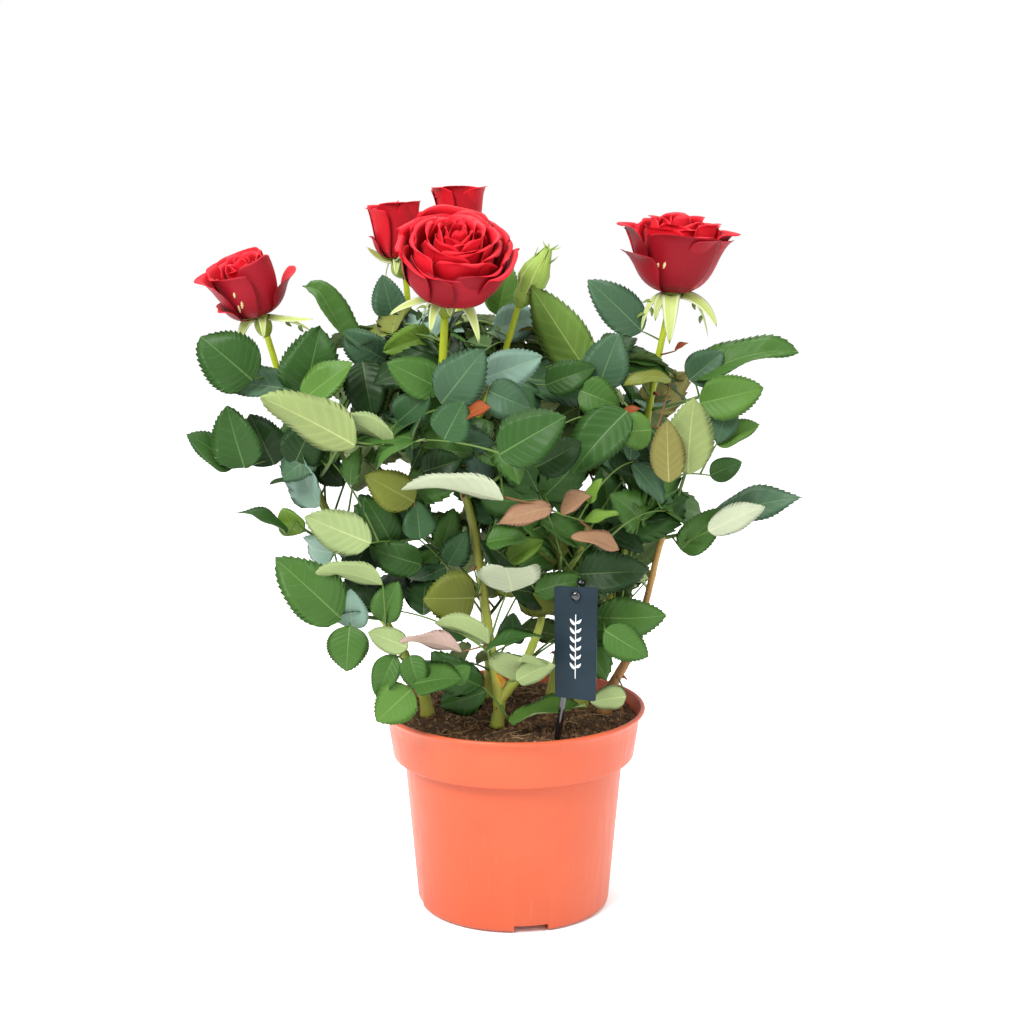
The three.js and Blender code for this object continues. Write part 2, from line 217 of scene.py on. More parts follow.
def pot_material():
    gloss = {"Specular_IOR_Level": 0.35, "Coat_Weight": 0.1, "Coat_Roughness": 0.3}
    material = plain("pot_plastic", "c8552f", 0.42, **gloss)
    n = Nodes(material)
    cloud = n.noise(14, 3)
    scuff = n.noise(60, 5, n.stretched(6, 6, 0.5))
    base = n.ramp(cloud, (0.3, "c6522c"), (0.7, "cc5a33"))
    rubbed = n.ramp(cloud, (0, "d3704d"), (1, "d56f4c"))
    n.colour(n.mix(n.ramp(scuff, (0.62, 0.0), (0.74, 0.3)), base, rubbed))
    n.roughness(n.ramp(scuff, (0.35, 0.36), (0.75, 0.55)))
    n.bump(n.noise(420, 2), 0.00012, 0.5)
    return material


def soil_material(name, dark, light):
    material = plain(name, dark, 0.95, Specular_IOR_Level=0.2)
    n = Nodes(material)
    n.colour(n.ramp(n.noise(260, 6), (0.35, dark), (0.7, light)))
    n.bump(n.noise(500, 4), 0.0012)
    return material


# In metres: where the bark's low colours pass into the middle ones, and where those pass into the high ones.
LOW_TO_MIDDLE = (0.195, 0.225)
MIDDLE_TO_HIGH = (0.30, 0.34)


def cane_material(name, low_colours, middle_colours, high_colours):
    """Bark that runs from one pair of colours near the soil through a second to a third near the top."""
    material = plain(name, low_colours[0], 0.42, Specular_IOR_Level=0.3)
    n = Nodes(material)
    mottle = n.noise(90, 5, n.stretched(1, 1, 0.35))
    streak = n.noise(420, 3, n.stretched(1, 1, 0.08))
    low_part = n.ramp(mottle, (0.35, low_colours[0]), (0.68, low_colours[1]))
    middle_part = n.ramp(mottle, (0.35, middle_colours[0]), (0.68, middle_colours[1]))
    high_part = n.ramp(streak, (0.3, high_colours[0]), (0.7, high_colours[1]))
    lower = n.mix(n.height(*LOW_TO_MIDDLE), low_part, middle_part)
    n.colour(n.mix(n.height(*MIDDLE_TO_HIGH), lower, high_part))
    n.roughness(n.ramp(mottle, (0.3, 0.34), (0.75, 0.6)))
    n.bump(streak, 0.0004, 0.6)
    return material


def label_material():
    material = plain("label_card", "1c2b34", 0.5, Specular_IOR_Level=0.15)
    n = Nodes(material)
    n.colour(n.ramp(n.noise(40, 3), (0.3, "182730"), (0.75, "20303a")))
    n.bump(n.noise(900, 2), 0.00005, 0.5)
    return material


# The colours of the leaves' upper sides, and of their undersides. The grey upper tint is mostly painted sheen,
# the white sky's reflection on glossy leaves; the teal and cool ones are a leaf green made bluer in part by
# painted sheen.
UPPER = {
    "deep": "1f3618", "dark": "2e4e20", "teal": "3f5c42", "cool": "345432", "mid": "3f6229",
    "green": "507430", "grey": "708c7c", "bright": "5c7a2b", "olive": "626a28", "bronze": "8c6a50",
    "rust": "86421f", "amber": "b4832a",
}
UNDER = {
    "shade": "4e6434", "pale": "8b9c68", "white": "acb498", "lime": "83925a", "moss": "5f7c34",
    "tan": "77733f", "blush": "a88f84",
}
# Each tint of leaf: its upper side and its underside.
TINTS = {
    "deep": ("deep", "shade"), "dark": ("dark", "shade"), "teal": ("teal", "pale"),
    "cool": ("cool", "pale"), "mid": ("mid", "pale"), "green": ("green", "pale"), "grey": ("grey", "pale"),
    "bright": ("bright", "lime"), "olive": ("olive", "tan"), "bronze": ("bronze", "blush"),
    "rust": ("rust", "tan"), "amber": ("amber", "tan"), "pale": ("dark", "pale"),
    "white": ("dark", "white"), "lime": ("mid", "lime"), "moss": ("mid", "moss"), "tan": ("mid", "tan"),
    "blush": ("mid", "blush"),
}
LEAF_TINTS = {**{"leaf_" + n: c for n, c in UPPER.items()}, **{"under_" + n: c for n, c in UNDER.items()}}
LEAF_SLOTS = [n + part for part in ("", "_vein", "_rib") for n in LEAF_TINTS] + ["stalk", "red_stalk"]


def blended(code, other, share):
    """A colour code that is a share of the way from one code to another."""
    pairs = [(int(code[i : i + 2], 16), int(other[i : i + 2], 16)) for i in (0, 2, 4)]
    return "".join(f"{round(a + (b - a) * share):02x}" for a, b in pairs)


def leaf_materials():
    """The materials in the order of LEAF_SLOTS: blades, their faint side veins, their midribs, and stalks."""
    made = []
    for part, share in (("", 0.0), ("_vein", 0.06), ("_rib", 0.3)):
        for name, code in LEAF_TINTS.items():
            above = name.startswith("leaf")
            paler, roughness, shine = ("a9bd7c", 0.4, 0.12) if above else ("dfe39a", 0.6, 0.1)
            tint = blended(code, paler, share)
            made.append(plain(name + part, tint, roughness, Specular_IOR_Level=shine))
    for name, code in (("stalk_green", "56702f"), ("stalk_red", "74502f")):
        made.append(plain(name, code, 0.5, Specular_IOR_Level=0.25))
    return made


# ---- Joined meshes ----


class Sheaf:
    """Collects many small shapes into one joined piece, with a material slot for each face."""

    def __init__(self):
        self.points = []
        self.quads = []
        self.tris = []
        self.quad_slots = []
        self.tri_slots = []
        self.count = 0

    def add(self, points, quads, quad_slots, tris=None, tri_slot=0):
        self.points.append(np.asarray(points, float).reshape(-1, 3))
        quads = np.asarray(quads, int).reshape(-1, 4)
        self.quads.append(quads + self.count)
        self.quad_slots.append(np.broadcast_to(quad_slots, (len(quads),)))
        if tris is not None:
            tris = np.asarray(tris, int).reshape(-1, 3)
            self.tris.append(tris + self.count)
            self.tri_slots.append(np.broadcast_to(tri_slot, (len(tris),)))
        self.count += len(self.points[-1])

    def make(self, name, materials, slot, stands_for=(), smooth=True):
        quads = np.vstack([*self.quads, np.zeros((0, 4), int)])
        tris = np.vstack([*self.tris, np.zeros((0, 3), int)])
        faces = len(quads) + len(tris)
        mesh = bpy.data.meshes.new(name)
        mesh.vertices.add(self.count)
        mesh.vertices.foreach_set("co", (np.vstack(self.points) * MM).astype(np.float32).ravel())
        corners = np.concatenate([quads.ravel(), tris.ravel()]).astype(np.int32)
        mesh.loops.add(len(corners))
        mesh.loops.foreach_set("vertex_index", corners)
        mesh.polygons.add(faces)
        starts = np.concatenate([np.arange(len(quads)) * 4, len(quads) * 4 + np.arange(len(tris)) * 3])
        mesh.polygons.foreach_set("loop_start", starts.astype(np.int32))
        slots = np.concatenate([*self.quad_slots, *self.tri_slots]).astype(np.int32)
        mesh.polygons.foreach_set("material_index", slots)
        mesh.polygons.foreach_set("use_smooth", np.full(faces, smooth))
        for material in materials:
            mesh.materials.append(material)
        mesh.update(calc_edges=True)
        mesh.validate()
        piece = bpy.data.objects.new(name, mesh)
        bpy.context.scene.collection.objects.link(piece)
        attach(piece, "root")
        if stands_for:
            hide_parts(*stands_for)
        return piece


def path_frames(path):
    """Two directions across a path at each of its points, turning as little as possible along it."""
    tangents = headings(path)
    guide = vec(1, 0, 0) if abs(tangents[0][0]) < 0.8 else vec(0, 1, 0)
    across = square_to(guide, tangents[0])
    firsts = []
    for tangent in tangents:
        across = square_to(across, tangent)
        firsts.append(across)
    firsts = np.array(firsts)
    return firsts, np.cross(tangents, firsts)


def add_rings(sheaf, rings, first, last, slot, inside_out=False):
    """A closed shell from rings of points, with a fan at each end to a middle point."""
    count, sides = rings.shape[:2]
    r, s = np.meshgrid(np.arange(count - 1), np.arange(sides), indexing="ij")
    n = (s + 1) % sides
    quads = np.stack([r * sides + s, r * sides + n, (r + 1) * sides + n, (r + 1) * sides + s], axis=-1)
    around = np.arange(sides)
    after = (around + 1) % sides
    end = (count - 1) * sides
    first_fan = np.stack([np.full(sides, count * sides), after, around], 1)
    last_fan = np.stack([np.full(sides, count * sides + 1), end + around, end + after], 1)
    tris = np.vstack([first_fan, last_fan])
    if inside_out:
        quads, tris = quads[..., [0, 3, 2, 1]], tris[:, [0, 2, 1]]
    sheaf.add(np.vstack([rings.reshape(-1, 3), first, last]), quads, slot, tris, slot)


def add_tube(sheaf, path, radii, sides, slot):
    """A closed tube. radii is one number a point, or one a point and side."""
    path = np.asarray(path, float)
    radii = np.asarray(radii, float)
    if radii.ndim == 1:
        radii = np.repeat(radii[:, None], sides, axis=1)
    first, second = path_frames(path)
    angle = circle(sides)
    ring = first[:, None] * np.cos(angle)[None, :, None] + second[:, None] * np.sin(angle)[None, :, None]
    add_rings(sheaf, path[:, None] + ring * radii[:, :, None], path[0], path[-1], slot)


def lens(points, thick, upper_slots, lower_slots):
    """A closed thin blade from a grid of points: a skin on each side that meet along the edge."""
    rows, columns = points.shape[:2]
    along = np.gradient(points, axis=0)
    across = np.gradient(points, axis=1)
    normal = np.cross(across, along)
    normal /= np.maximum(np.linalg.norm(normal, axis=2), 1e-9)[..., None]
    inside = np.zeros((rows, columns), bool)
    inside[1:-1, 1:-1] = True
    half = np.where(inside, thick / 2, 0.0)[..., None]
    upper = (points + normal * half).reshape(-1, 3)
    lower = (points - normal * half)[inside]
    index = np.arange(rows * columns).reshape(rows, columns)
    under = index.copy()
    under[inside] = rows * columns + np.arange(inside.sum())
    top = np.stack([index[:-1, :-1], index[:-1, 1:], index[1:, 1:], index[1:, :-1]], -1).reshape(-1, 4)
    bottom = np.stack([under[:-1, :-1], under[1:, :-1], under[1:, 1:], under[:-1, 1:]], -1).reshape(-1, 4)
    slots = [np.broadcast_to(side, (rows - 1, columns - 1)).ravel() for side in (upper_slots, lower_slots)]
    return np.vstack([upper, lower]), np.vstack([top, bottom]), np.concatenate(slots)


# ---- Camera, lights and floor ----

CAMERA_AT = vec(-1, -1240, 496)
CAMERA_PITCH = math.radians(10.86)
LENS = 69.9


# Each lamp: its place, its size in metres and its watts.
LAMPS = {
    "key": ((-800, -1100, 1500), 0.8, 44),
    "fill": ((1200, -1000, 900), 1.2, 9),
    "top": ((100, 300, 1700), 1.0, 26),
}
LAMPS_AIM = vec(0, 0, 280)


def build_camera():
    camera = bpy.data.objects.new("camera", bpy.data.cameras.new("camera"))
    camera.data.lens = LENS
    camera.data.sensor_width = 36
    camera.location = CAMERA_AT * MM
    camera.rotation_euler = (math.pi / 2 - CAMERA_PITCH, 0, 0)
    bpy.context.scene.collection.objects.link(camera)
    bpy.context.scene.camera = camera


def build_lights():
    world = bpy.data.worlds.new("studio")
    world.use_nodes = True
    world.node_tree.nodes["Background"].inputs["Color"].default_value = (1, 1, 1, 1)
    world.node_tree.nodes["Background"].inputs["Strength"].default_value = 1.0
    bpy.context.scene.world = world
    bpy.context.scene.view_settings.view_transform = "Standard"
    for name, (place, size, watts) in LAMPS.items():
        lamp = bpy.data.objects.new(name, bpy.data.lights.new(name, "AREA"))
        lamp.data.size = size
        lamp.data.energy = watts
        lamp.location = vec(*place) * MM
        aim = Vector(LAMPS_AIM * MM) - lamp.location
        lamp.rotation_euler = aim.to_track_quat("-Z", "Y").to_euler()
        bpy.context.scene.collection.objects.link(lamp)


def build_floor():
    bpy.ops.mesh.primitive_plane_add(size=8, location=(0, 0, -0.0004))
    floor = bpy.context.object
    floor.name = "floor"
    paper = plain("floor_white", "ffffff", 0.8, Specular_IOR_Level=0.0)
    paper.node_tree.nodes["Principled BSDF"].inputs["Base Color"].default_value = (0.98, 0.98, 0.98, 1)
    floor.data.materials.append(paper)


# ---- Pot ----

# The pot's height, and its radii and levels. The collar is the wide part above collar_z.
POT = {"height": 132, "rim": 85, "collar_top": 81.4, "collar_foot": 78, "collar_z": 100}
POT.update({"body_top": 70.6, "foot": 62.4, "wall": 2, "floor": 7, "sides": 160})
# The grooves under the pot, which start pad from the axis, and a round hole in each, hole_at from the axis.
DRAIN = {"count": 4, "width": 22, "height": 5, "pad": 22, "hole": 4, "hole_at": 42, "first": -79.5}


def arc(centre_r, centre_z, radius, start, end, count):
    """Points on an arc, from a start to an end in degrees."""
    angles = np.radians(np.linspace(start, end, count))
    return [(centre_r + radius * math.cos(a), centre_z + radius * math.sin(a)) for a in angles]


def pot_profile():
    """The wall's section from the underside's centre, up the outside, over the rim and down the inside."""
    p = POT
    floor_radius = p["foot"] + (p["body_top"] - p["foot"]) * p["floor"] / p["collar_z"] - p["wall"]
    outline = [(0, 0), (30, 0)]
    outline += arc(p["foot"] - 4, 4, 4, -90, 0, 7)
    outline += [(p["body_top"] - 1.2, 84), (p["body_top"], 97.6)]
    outline += arc(p["body_top"] + 1.4, p["collar_z"] - 1.4, 1.4, 180, 90, 5)
    outline += arc(p["collar_foot"] - 1.3, p["collar_z"] + 1.3, 1.3, -90, 0, 6)
    outline += [(p["collar_top"] - 0.6, 120), (p["collar_top"], 126.2), (p["rim"] - 1.6, 128.2)]
    outline += arc(p["rim"] - 1.5, p["height"] - 1.5, 1.5, -40, 170, 12)
    outline += [(p["rim"] - 3.4, 129), (p["collar_top"] - 1.4, 126)]
    outline += [(p["collar_foot"] - 2, 102.4), (p["body_top"] - 2, 101.6)]
    outline += [(floor_radius, p["floor"]), (0, p["floor"])]
    return np.array(outline)


def build_pot():
    wall = pot_profile()[1:-1]
    sides = POT["sides"]
    angle = circle(sides)
    rings = np.stack([np.outer(wall[:, 0], np.cos(angle)), np.outer(wall[:, 0], np.sin(angle))], -1)
    rings = np.concatenate([rings, np.repeat(wall[:, 1][:, None, None], sides, 1)], -1)
    sheaf = Sheaf()
    add_rings(sheaf, rings, vec(0, 0, 0), vec(0, 0, POT["floor"]), 0)
    pot = sheaf.make("pot_shell", [pot_material()], "pot", ["pot"])
    cutters = drain_cutters()
    for cutter in cutters:
        cut = pot.modifiers.new("drain", "BOOLEAN")
        cut.object = cutter
        cut.solver = "EXACT"
    bevel = pot.modifiers.new("soft_edges", "BEVEL")
    bevel.width = 0.4 * MM
    bevel.segments = 2
    bevel.limit_method = "ANGLE"
    bevel.angle_limit = math.radians(55)
    bake_modifiers(pot)
    for cutter in cutters:
        bpy.data.objects.remove(cutter)
    pot.data.set_sharp_from_angle(angle=math.radians(40))


def drain_cutters():
    """A bar for each groove under the pot, and a rod for each hole."""
    cutters = []
    reach = POT["foot"] - DRAIN["pad"] + 10
    bar = vec(reach, DRAIN["width"], DRAIN["height"] * 2)
    for i in range(DRAIN["count"]):
        turn = math.radians(DRAIN["first"] + 360 * i / DRAIN["count"])
        middle = bearing(turn) * (DRAIN["pad"] + reach / 2) * MM
        bpy.ops.mesh.primitive_cube_add(size=1, location=middle, rotation=(0, 0, turn))
        bpy.context.object.scale = bar * MM
        cutters.append(bpy.context.object)
        at = bearing(turn) * DRAIN["hole_at"] * MM
        bpy.ops.mesh.primitive_cylinder_add(radius=DRAIN["hole"] * MM, depth=0.03, vertices=32, location=at)
        cutters.append(bpy.context.object)
    return cutters


def bake_modifiers(piece):
    """Applies a piece's modifiers to its mesh."""
    done = bpy.data.meshes.new_from_object(piece.evaluated_get(bpy.context.evaluated_depsgraph_get()))
    piece.modifiers.clear()
    piece.data = done
    piece.data.polygons.foreach_set("use_smooth", np.ones(len(done.polygons), bool))


# ---- Soil ----

SOIL_TOP = 126.0
SOIL_RADIUS = 79.2
# The soil's side inside the pot, from its edge down to the pot's floor: radius and height.
SOIL_SKIRT = [(SOIL_RADIUS, 122), (75.4, 103), (68, 102.6), (60, 7.4)]
OCTAHEDRON = [(0, 2, 4), (2, 1, 4), (1, 3, 4), (3, 0, 4), (2, 0, 5), (1, 2, 5), (3, 1, 5), (0, 3, 5)]
# Each kind of crumb: how many, the smallest and the largest, colour and roughness.
CRUMBS = {
    "dark": (2600, 0.5, 1.5, "4c3623", 0.95),
    "brown": (900, 0.6, 2.0, "7c5a38", 0.9),
    "pale": (170, 0.35, 0.8, "b9a98c", 0.8),
}
FIBRES = 46


def soil_height(x, y):
    """Gentle humps: a smooth repeatable relief of a few millimetres, lower at the rim."""
    radius = np.hypot(x, y)
    hump = np.sin(x * 0.11 + 0.7) * np.cos(y * 0.13 + 1.1) + 0.6 * np.sin(x * 0.27 - y * 0.21)
    fine = 0.3 * np.sin(x * 0.8 + 2.1 * np.sin(y * 0.5)) + 0.25 * np.sin(y * 1.1 + 1.7 * np.sin(x * 0.7))
    edge = np.clip((radius - 62) / 17, 0, 1)
    return SOIL_TOP + 0.8 * hump + fine - 2.2 * edge


def build_soil():
    rng = np.random.default_rng(11)
    build_soil_bed(rng)
    build_crumbs(rng)
    build_fibres(rng)


def build_soil_bed(rng):
    angle = circle(120)
    radius = np.linspace(0.8, SOIL_RADIUS, 60)
    x, y = np.outer(radius, np.cos(angle)), np.outer(radius, np.sin(angle))
    z = soil_height(x, y) + rng.normal(0, 0.22, x.shape)
    for r, level in SOIL_SKIRT:
        x, y = np.vstack([x, r * np.cos(angle)]), np.vstack([y, r * np.sin(angle)])
        z = np.vstack([z, np.full(len(angle), level)])
    bed = Sheaf()
    bottom = vec(0, 0, SOIL_SKIRT[-1][1])
    add_rings(bed, np.stack([x, y, z], -1), vec(0, 0, SOIL_TOP), bottom, 0, inside_out=True)
    bed.make("soil_bed", [soil_material("soil_dark", "402e1e", "745436")], "soil", ["soil"])


def build_crumbs(rng):
    crumbs = Sheaf()
    corner = np.array([(1, 0, 0), (-1, 0, 0), (0, 1, 0), (0, -1, 0), (0, 0, 1), (0, 0, -1)], float)
    for kind, (number, small, large, _, _) in enumerate(CRUMBS.values()):
        for _ in range(number):
            r = (SOIL_RADIUS - 1.5) * math.sqrt(rng.uniform())
            a = rng.uniform(0, 2 * math.pi)
            size = rng.uniform(small, large)
            x, y = r * math.cos(a), r * math.sin(a)
            lump = corner * rng.uniform(0.6, 1.25, (6, 1)) * size + rng.normal(0, 0.15, (6, 3)) * size
            lump += vec(x, y, float(soil_height(x, y)) + size * 0.25)
            crumbs.add(lump, np.zeros((0, 4), int), 0, OCTAHEDRON, kind)
    shades = [plain(f"crumb_{kind}", row[3], row[4]) for kind, row in CRUMBS.items()]
    crumbs.make("soil_crumbs", shades, "soil", smooth=False)


def build_fibres(rng):
    """Bits of straw that lie on the soil, each a short wandering walk."""
    fibres = Sheaf()
    for _ in range(FIBRES):
        r = 70 * math.sqrt(rng.uniform())
        start = bearing(rng.uniform(0, 2 * math.pi)) * r
        heading = rng.uniform(0, 2 * math.pi)
        stride = rng.uniform(3, 8)
        turn = rng.normal(0, 0.5)
        path = []
        for _ in range(6):
            level = float(soil_height(start[0], start[1])) + 0.5 + rng.uniform(0, 0.9)
            path.append((start[0], start[1], level))
            heading += turn + rng.normal(0, 0.25)
            start = start + stride * bearing(heading)
            if np.hypot(*start[:2]) > SOIL_RADIUS - 3.2:
                break
        if len(path) > 2:
            fine = smooth_path(path, 1.6)
            add_tube(fibres, fine, np.linspace(0.28, 0.14, len(fine)), 5, 0)
    fibres.make("soil_fibres", [plain("fibre_straw", "a98a5c", 0.8)], "soil")


# ---- Canes and boughs ----

# Each cane and bough: its route from foot to tip, its radius at each end, and how much its foot flares.
LIMBS = {
    "front_cane": (
        [(-10.5, -34, GROUND), (-9, -34, 143), (-14.7, -38, 184), (-25.6, -39, 260), (-36, -40, 298),
        (-42.8, -42, 343), (-41.6, -42, 385)],
        3.3, 2.4, 1.5,
    ),
    "left_cane": (
        [(-55, -10, GROUND), (-58, -10, 142), (-90, -10, 205), (-117.5, -10, 260), (-135, -10, 308),
        (-143.6, -10, 339), (-152.6, -10, 371)],
        3.5, 2.0, 1.6,
    ),
    "right_woody_cane": (
        [(58.3, -5, GROUND), (62, -5, 142), (75.7, -8, 170), (85, -9, 205), (92.5, -10, 239),
        (100, -10, 262)],
        3.6, 2.0, 1.6,
    ),
    "right_cane": (
        [(44, 12, GROUND), (46, 11, 142), (62, 4, 200), (75.3, 0, 252), (79.4, 0, 281), (88.6, 0, 346),
        (95.9, 0, 384)],
        3.6, 2.0, 1.8,
    ),
    "back_cane": (
        [(-14, 32, GROUND), (-15, 33, 142), (-22, 45, 210), (-30, 58, 280), (-36, 68, 350), (-34, 75, 410)],
        3.7, 2.0, 1.6,
    ),
    "back_right_cane": (
        [(26, 36, GROUND), (28, 38, 142), (40, 52, 210), (58, 66, 270)],
        3.4, 2.2, 1.6,
    ),
    "front_bough": (
        [(-9, -34, 143), (3.4, -36, 162), (14.6, -38, 188), (21.3, -40, 211), (40.8, -44, 242),
        (46, -46, 258)],
        3.2, 2.0, 0.0,
    ),
    "bud_bough": (
        [(-33.5, -40, 287), (-26, -30, 312), (-14, -12, 338), (-6.6, -5, 357), (2.9, -5, 389)],
        2.4, 1.9, 0.0,
    ),
    "back_left_bough": (
        [(-27, 53, 252), (-44, 52, 300), (-60, 54, 345), (-66.2, 55, 368), (-70.1, 55, 402)],
        2.6, 1.9, 0.0,
    ),
}
FLARE_HEIGHT = 9
NODE_SPACING = 27  # between the rings on a cane where leaves or their scars sit


def cane_relief(path, foot, tip, flare, sides, rng):
    """Radii with the foot's flare, a slight swelling at each node, and an uneven skin."""
    along = np.linspace(0, 1, len(path))
    length = run_lengths(path)[-1]
    radius = tip + (foot - tip) * (1 - along) ** 2.2 + flare * np.exp(-along * length / FLARE_HEIGHT)
    distance = along * length
    swell = np.zeros(len(path))
    for node in np.arange(NODE_SPACING * 0.6, length - 12, NODE_SPACING):
        swell += 0.16 * np.exp(-((distance - node) / 2.2) ** 2)
    angle = circle(sides)
    lean = np.sin(angle[None] * 2 + distance[:, None] * 0.06) * 0.03
    rough = rng.normal(0, 0.012 + 0.03 * (1 - along[:, None]) ** 2, (len(path), sides))
    return radius[:, None] * (1 + swell[:, None] + lean + rough)


def add_prickles(sheaf, path, foot, tip, rng):
    """Small flat-footed thorns here and there on a cane, which curve down from the bark."""
    first, second = path_frames(path)
    for i in range(6, len(path) - 20, 7):
        if rng.uniform() < 0.45:
            turn = rng.uniform(0, 2 * math.pi)
            out = first[i] * math.cos(turn) + second[i] * math.sin(turn)
            at = path[i] + out * (foot + (tip - foot) * i / len(path))
            size = rng.uniform(2.0, 3.6)
            steps = [(-0.6 / size, 0), (0.4, 0), (0.8, 0.18), (1, 0.5)]
            thorn = np.array([at + (out * away - UP * drop) * size for away, drop in steps])
            add_tube(sheaf, thorn, vec(0.42, 0.26, 0.14, 0.03) * size, 6, 1)


def build_canes(network):
    # The green bark's middle colours are darker in part as painted shade where the crown shades the canes, and
    # its low colours lighter in part as painted light on the lower canes; its high colours are the flower stems'
    # own yellow-green.
    green = cane_material("cane_bark", ("9aac3e", "a4a046"), ("76822a", "8a8c38"), ("9aaa18", "a8b622"))
    woody = cane_material("cane_woody", ("9a6e3c", "7d5830"), ("b58a4c", "a5864a"), ("b58a4c", "8d8a44"))
    thorn = plain("prickle_red", "9a4a36", 0.5)
    sides = 18
    for number, (name, (route, foot, tip, flare)) in enumerate(LIMBS.items()):
        rng = np.random.default_rng(100 + number)
        path = smooth_path(route, 2.2)
        sheaf = Sheaf()
        add_tube(sheaf, path, cane_relief(path, foot, tip, flare, sides, rng), sides, 0)
        add_prickles(sheaf, path, foot, tip, rng)
        bark = woody if name == "right_woody_cane" else green
        sheaf.make(name + "_bark", [bark, thorn], "wood" if bark is woody else "cane", [name])
        for point in path[8::4]:
            network.grow(point)


class Network:
    """Where more leaves may grow from, which of those places are used, and which leaves are kept in view."""

    def __init__(self):
        self.points = []
        self.kept = []
        self.used = set()

    def grow(self, point):
        self.points.append(np.asarray(point, float))

    def nearest(self, place):
        """The best point for a short stalk to reach a place from: near, and not above or outside it."""
        points = np.array(self.points)
        gap = place - points
        outside = np.hypot(points[:, 0], points[:, 1]) - math.hypot(place[0], place[1])
        cost = np.linalg.norm(gap, axis=1) + 0.5 * np.maximum(0, -gap[:, 2]) + 0.4 * np.maximum(0, outside)
        best = int(np.argmin(cost))
        self.used.add(best)
        return points[best]

    def anchor(self, tip, out, length):
        """The number of the best point for a leaf of a length to grow from, to reach tip on its way out."""
        points = np.array(self.points)
        gap = tip - points
        distance = np.maximum(np.linalg.norm(gap, axis=1), 1e-6)
        away = (gap @ out) / distance
        outside = np.hypot(points[:, 0], points[:, 1]) - math.hypot(tip[0], tip[1])
        cost = np.abs(distance - length) + 32 * (1 - away) + 0.4 * np.maximum(0, -gap[:, 2])
        cost += 0.3 * np.maximum(0, outside)
        return int(np.argmin(cost))


# ---- Leaves ----


TOOTH = 0.066  # how far a tooth stands out, for half the blade's width


def blade_template(teeth, across):
    """A toothed leaflet, 1 long, as grids: how far along and across each point is, and its quilting."""
    edge = [0.0]
    for k in range(teeth):
        edge += [(k + 0.12) / teeth, (k + 0.9) / teeth]
    edge = np.array([*edge, 1.0])
    tooth = np.array([0.0, *([0.0, 1.0] * teeth), 0.0])
    half = edge**0.55 * (1 - edge) ** 0.86
    half /= 0.41**0.55 * 0.59**0.86 * 1.02
    half = np.maximum(half, 0.015)
    middle = edge**2.0
    side = np.array(across)
    away = np.abs(side)
    along = middle[:, None] + (edge - middle)[:, None] * away[None] ** 1.25
    bite = tooth[:, None] * (away[None] > 0.99) * np.sqrt(half)[:, None]
    width = half[:, None] * side[None] + np.sign(side)[None] * TOOTH * bite
    along = along + bite * 0.4 / teeth
    rib = away < 0.08
    width[:, rib] = np.sign(side[rib])[None] * np.minimum(0.03 * (1.2 - middle), half * 0.6)[:, None]
    wave = -np.cos(2 * math.pi * (np.arange(len(edge)) - 1) / 4)
    quilt = wave[:, None] * (away**0.5 * (1 - away**3))[None] * np.minimum(half, 1)[:, None]
    return {"along": along, "width": width, "quilt": quilt, "away": away, "side": side, "half": half}


FINE_BLADE = blade_template(17, (-1, -0.7, -0.38, -0.03, 0.03, 0.38, 0.7, 1))
PLAIN_BLADE = blade_template(10, (-1, -0.55, -0.03, 0.03, 0.55, 1))
INNER_BLADE = blade_template(7, (-1, -0.5, -0.03, 0.03, 0.5, 1))


QUILTING = 0.007  # how far the blade bulges between its veins, for its length
VEIN_EVERY = 2  # teeth from one paler side vein to the next


def blade_points(shape, base, tip, face, ratio, rng):
    """A leaflet's points from base to tip, its upper side towards face, arched, folded and a little wavy."""
    chord = tip - base
    length = np.linalg.norm(chord)
    forward = chord / length
    normal = square_to(face, forward)
    side = np.cross(forward, normal)
    arch = rng.uniform(0.25, 1.15)
    fold = rng.uniform(0.08, 0.48) * min(1, 0.6 / ratio)
    twist = rng.normal(0, 0.12)

    t = np.linspace(0, 1, 41)
    bend = arch * (0.6 * t + 0.4 * t**2)
    run = np.concatenate([[0], np.cumsum(np.cos(bend))[:-1]]) / 40
    drop = np.concatenate([[0], np.cumsum(np.sin(bend))[:-1]]) / 40
    along = np.clip(shape["along"], 0, 1.02)
    angle = np.interp(along, t, bend)
    x = shape["width"] * ratio / 2
    wave = rng.uniform(0.015, 0.05) * shape["away"][None] ** 2
    ripple = wave * np.sin(2 * math.pi * (1.6 * along + rng.uniform()) + shape["side"][None] * 1.3)
    z = fold * np.abs(x) + ripple + QUILTING * shape["quilt"] + twist * x * along
    y = np.interp(along, t, run) + z * np.sin(angle)
    z = -np.interp(along, t, drop) + z * np.cos(angle)
    end_y, end_z = run[-1], -drop[-1]
    tilt = -math.atan2(end_z, end_y)
    scale = length / math.hypot(end_y, end_z)
    y, z = y * math.cos(tilt) - z * math.sin(tilt), y * math.sin(tilt) + z * math.cos(tilt)
    local = np.stack([x, y, z], -1) * scale
    return base + local[..., :1] * side + local[..., 1:2] * forward + local[..., 2:] * normal


def add_blade(sheaf, points, tint):
    """A leaflet of a tint, with paler side veins and midrib."""
    above, below = TINTS[tint]
    rows, columns = points.shape[0] - 1, points.shape[1] - 1
    slots = []
    for name in ("leaf_" + above, "under_" + below):
        side = np.full((rows, columns), LEAF_SLOTS.index(name))
        side[2 : rows - 3 : 2 * VEIN_EVERY, 1:-1] = LEAF_SLOTS.index(name + "_vein")
        side[:, columns // 2] = LEAF_SLOTS.index(name + "_rib")
        slots.append(side)
    sheaf.add(*lens(points, 0.34, *slots))


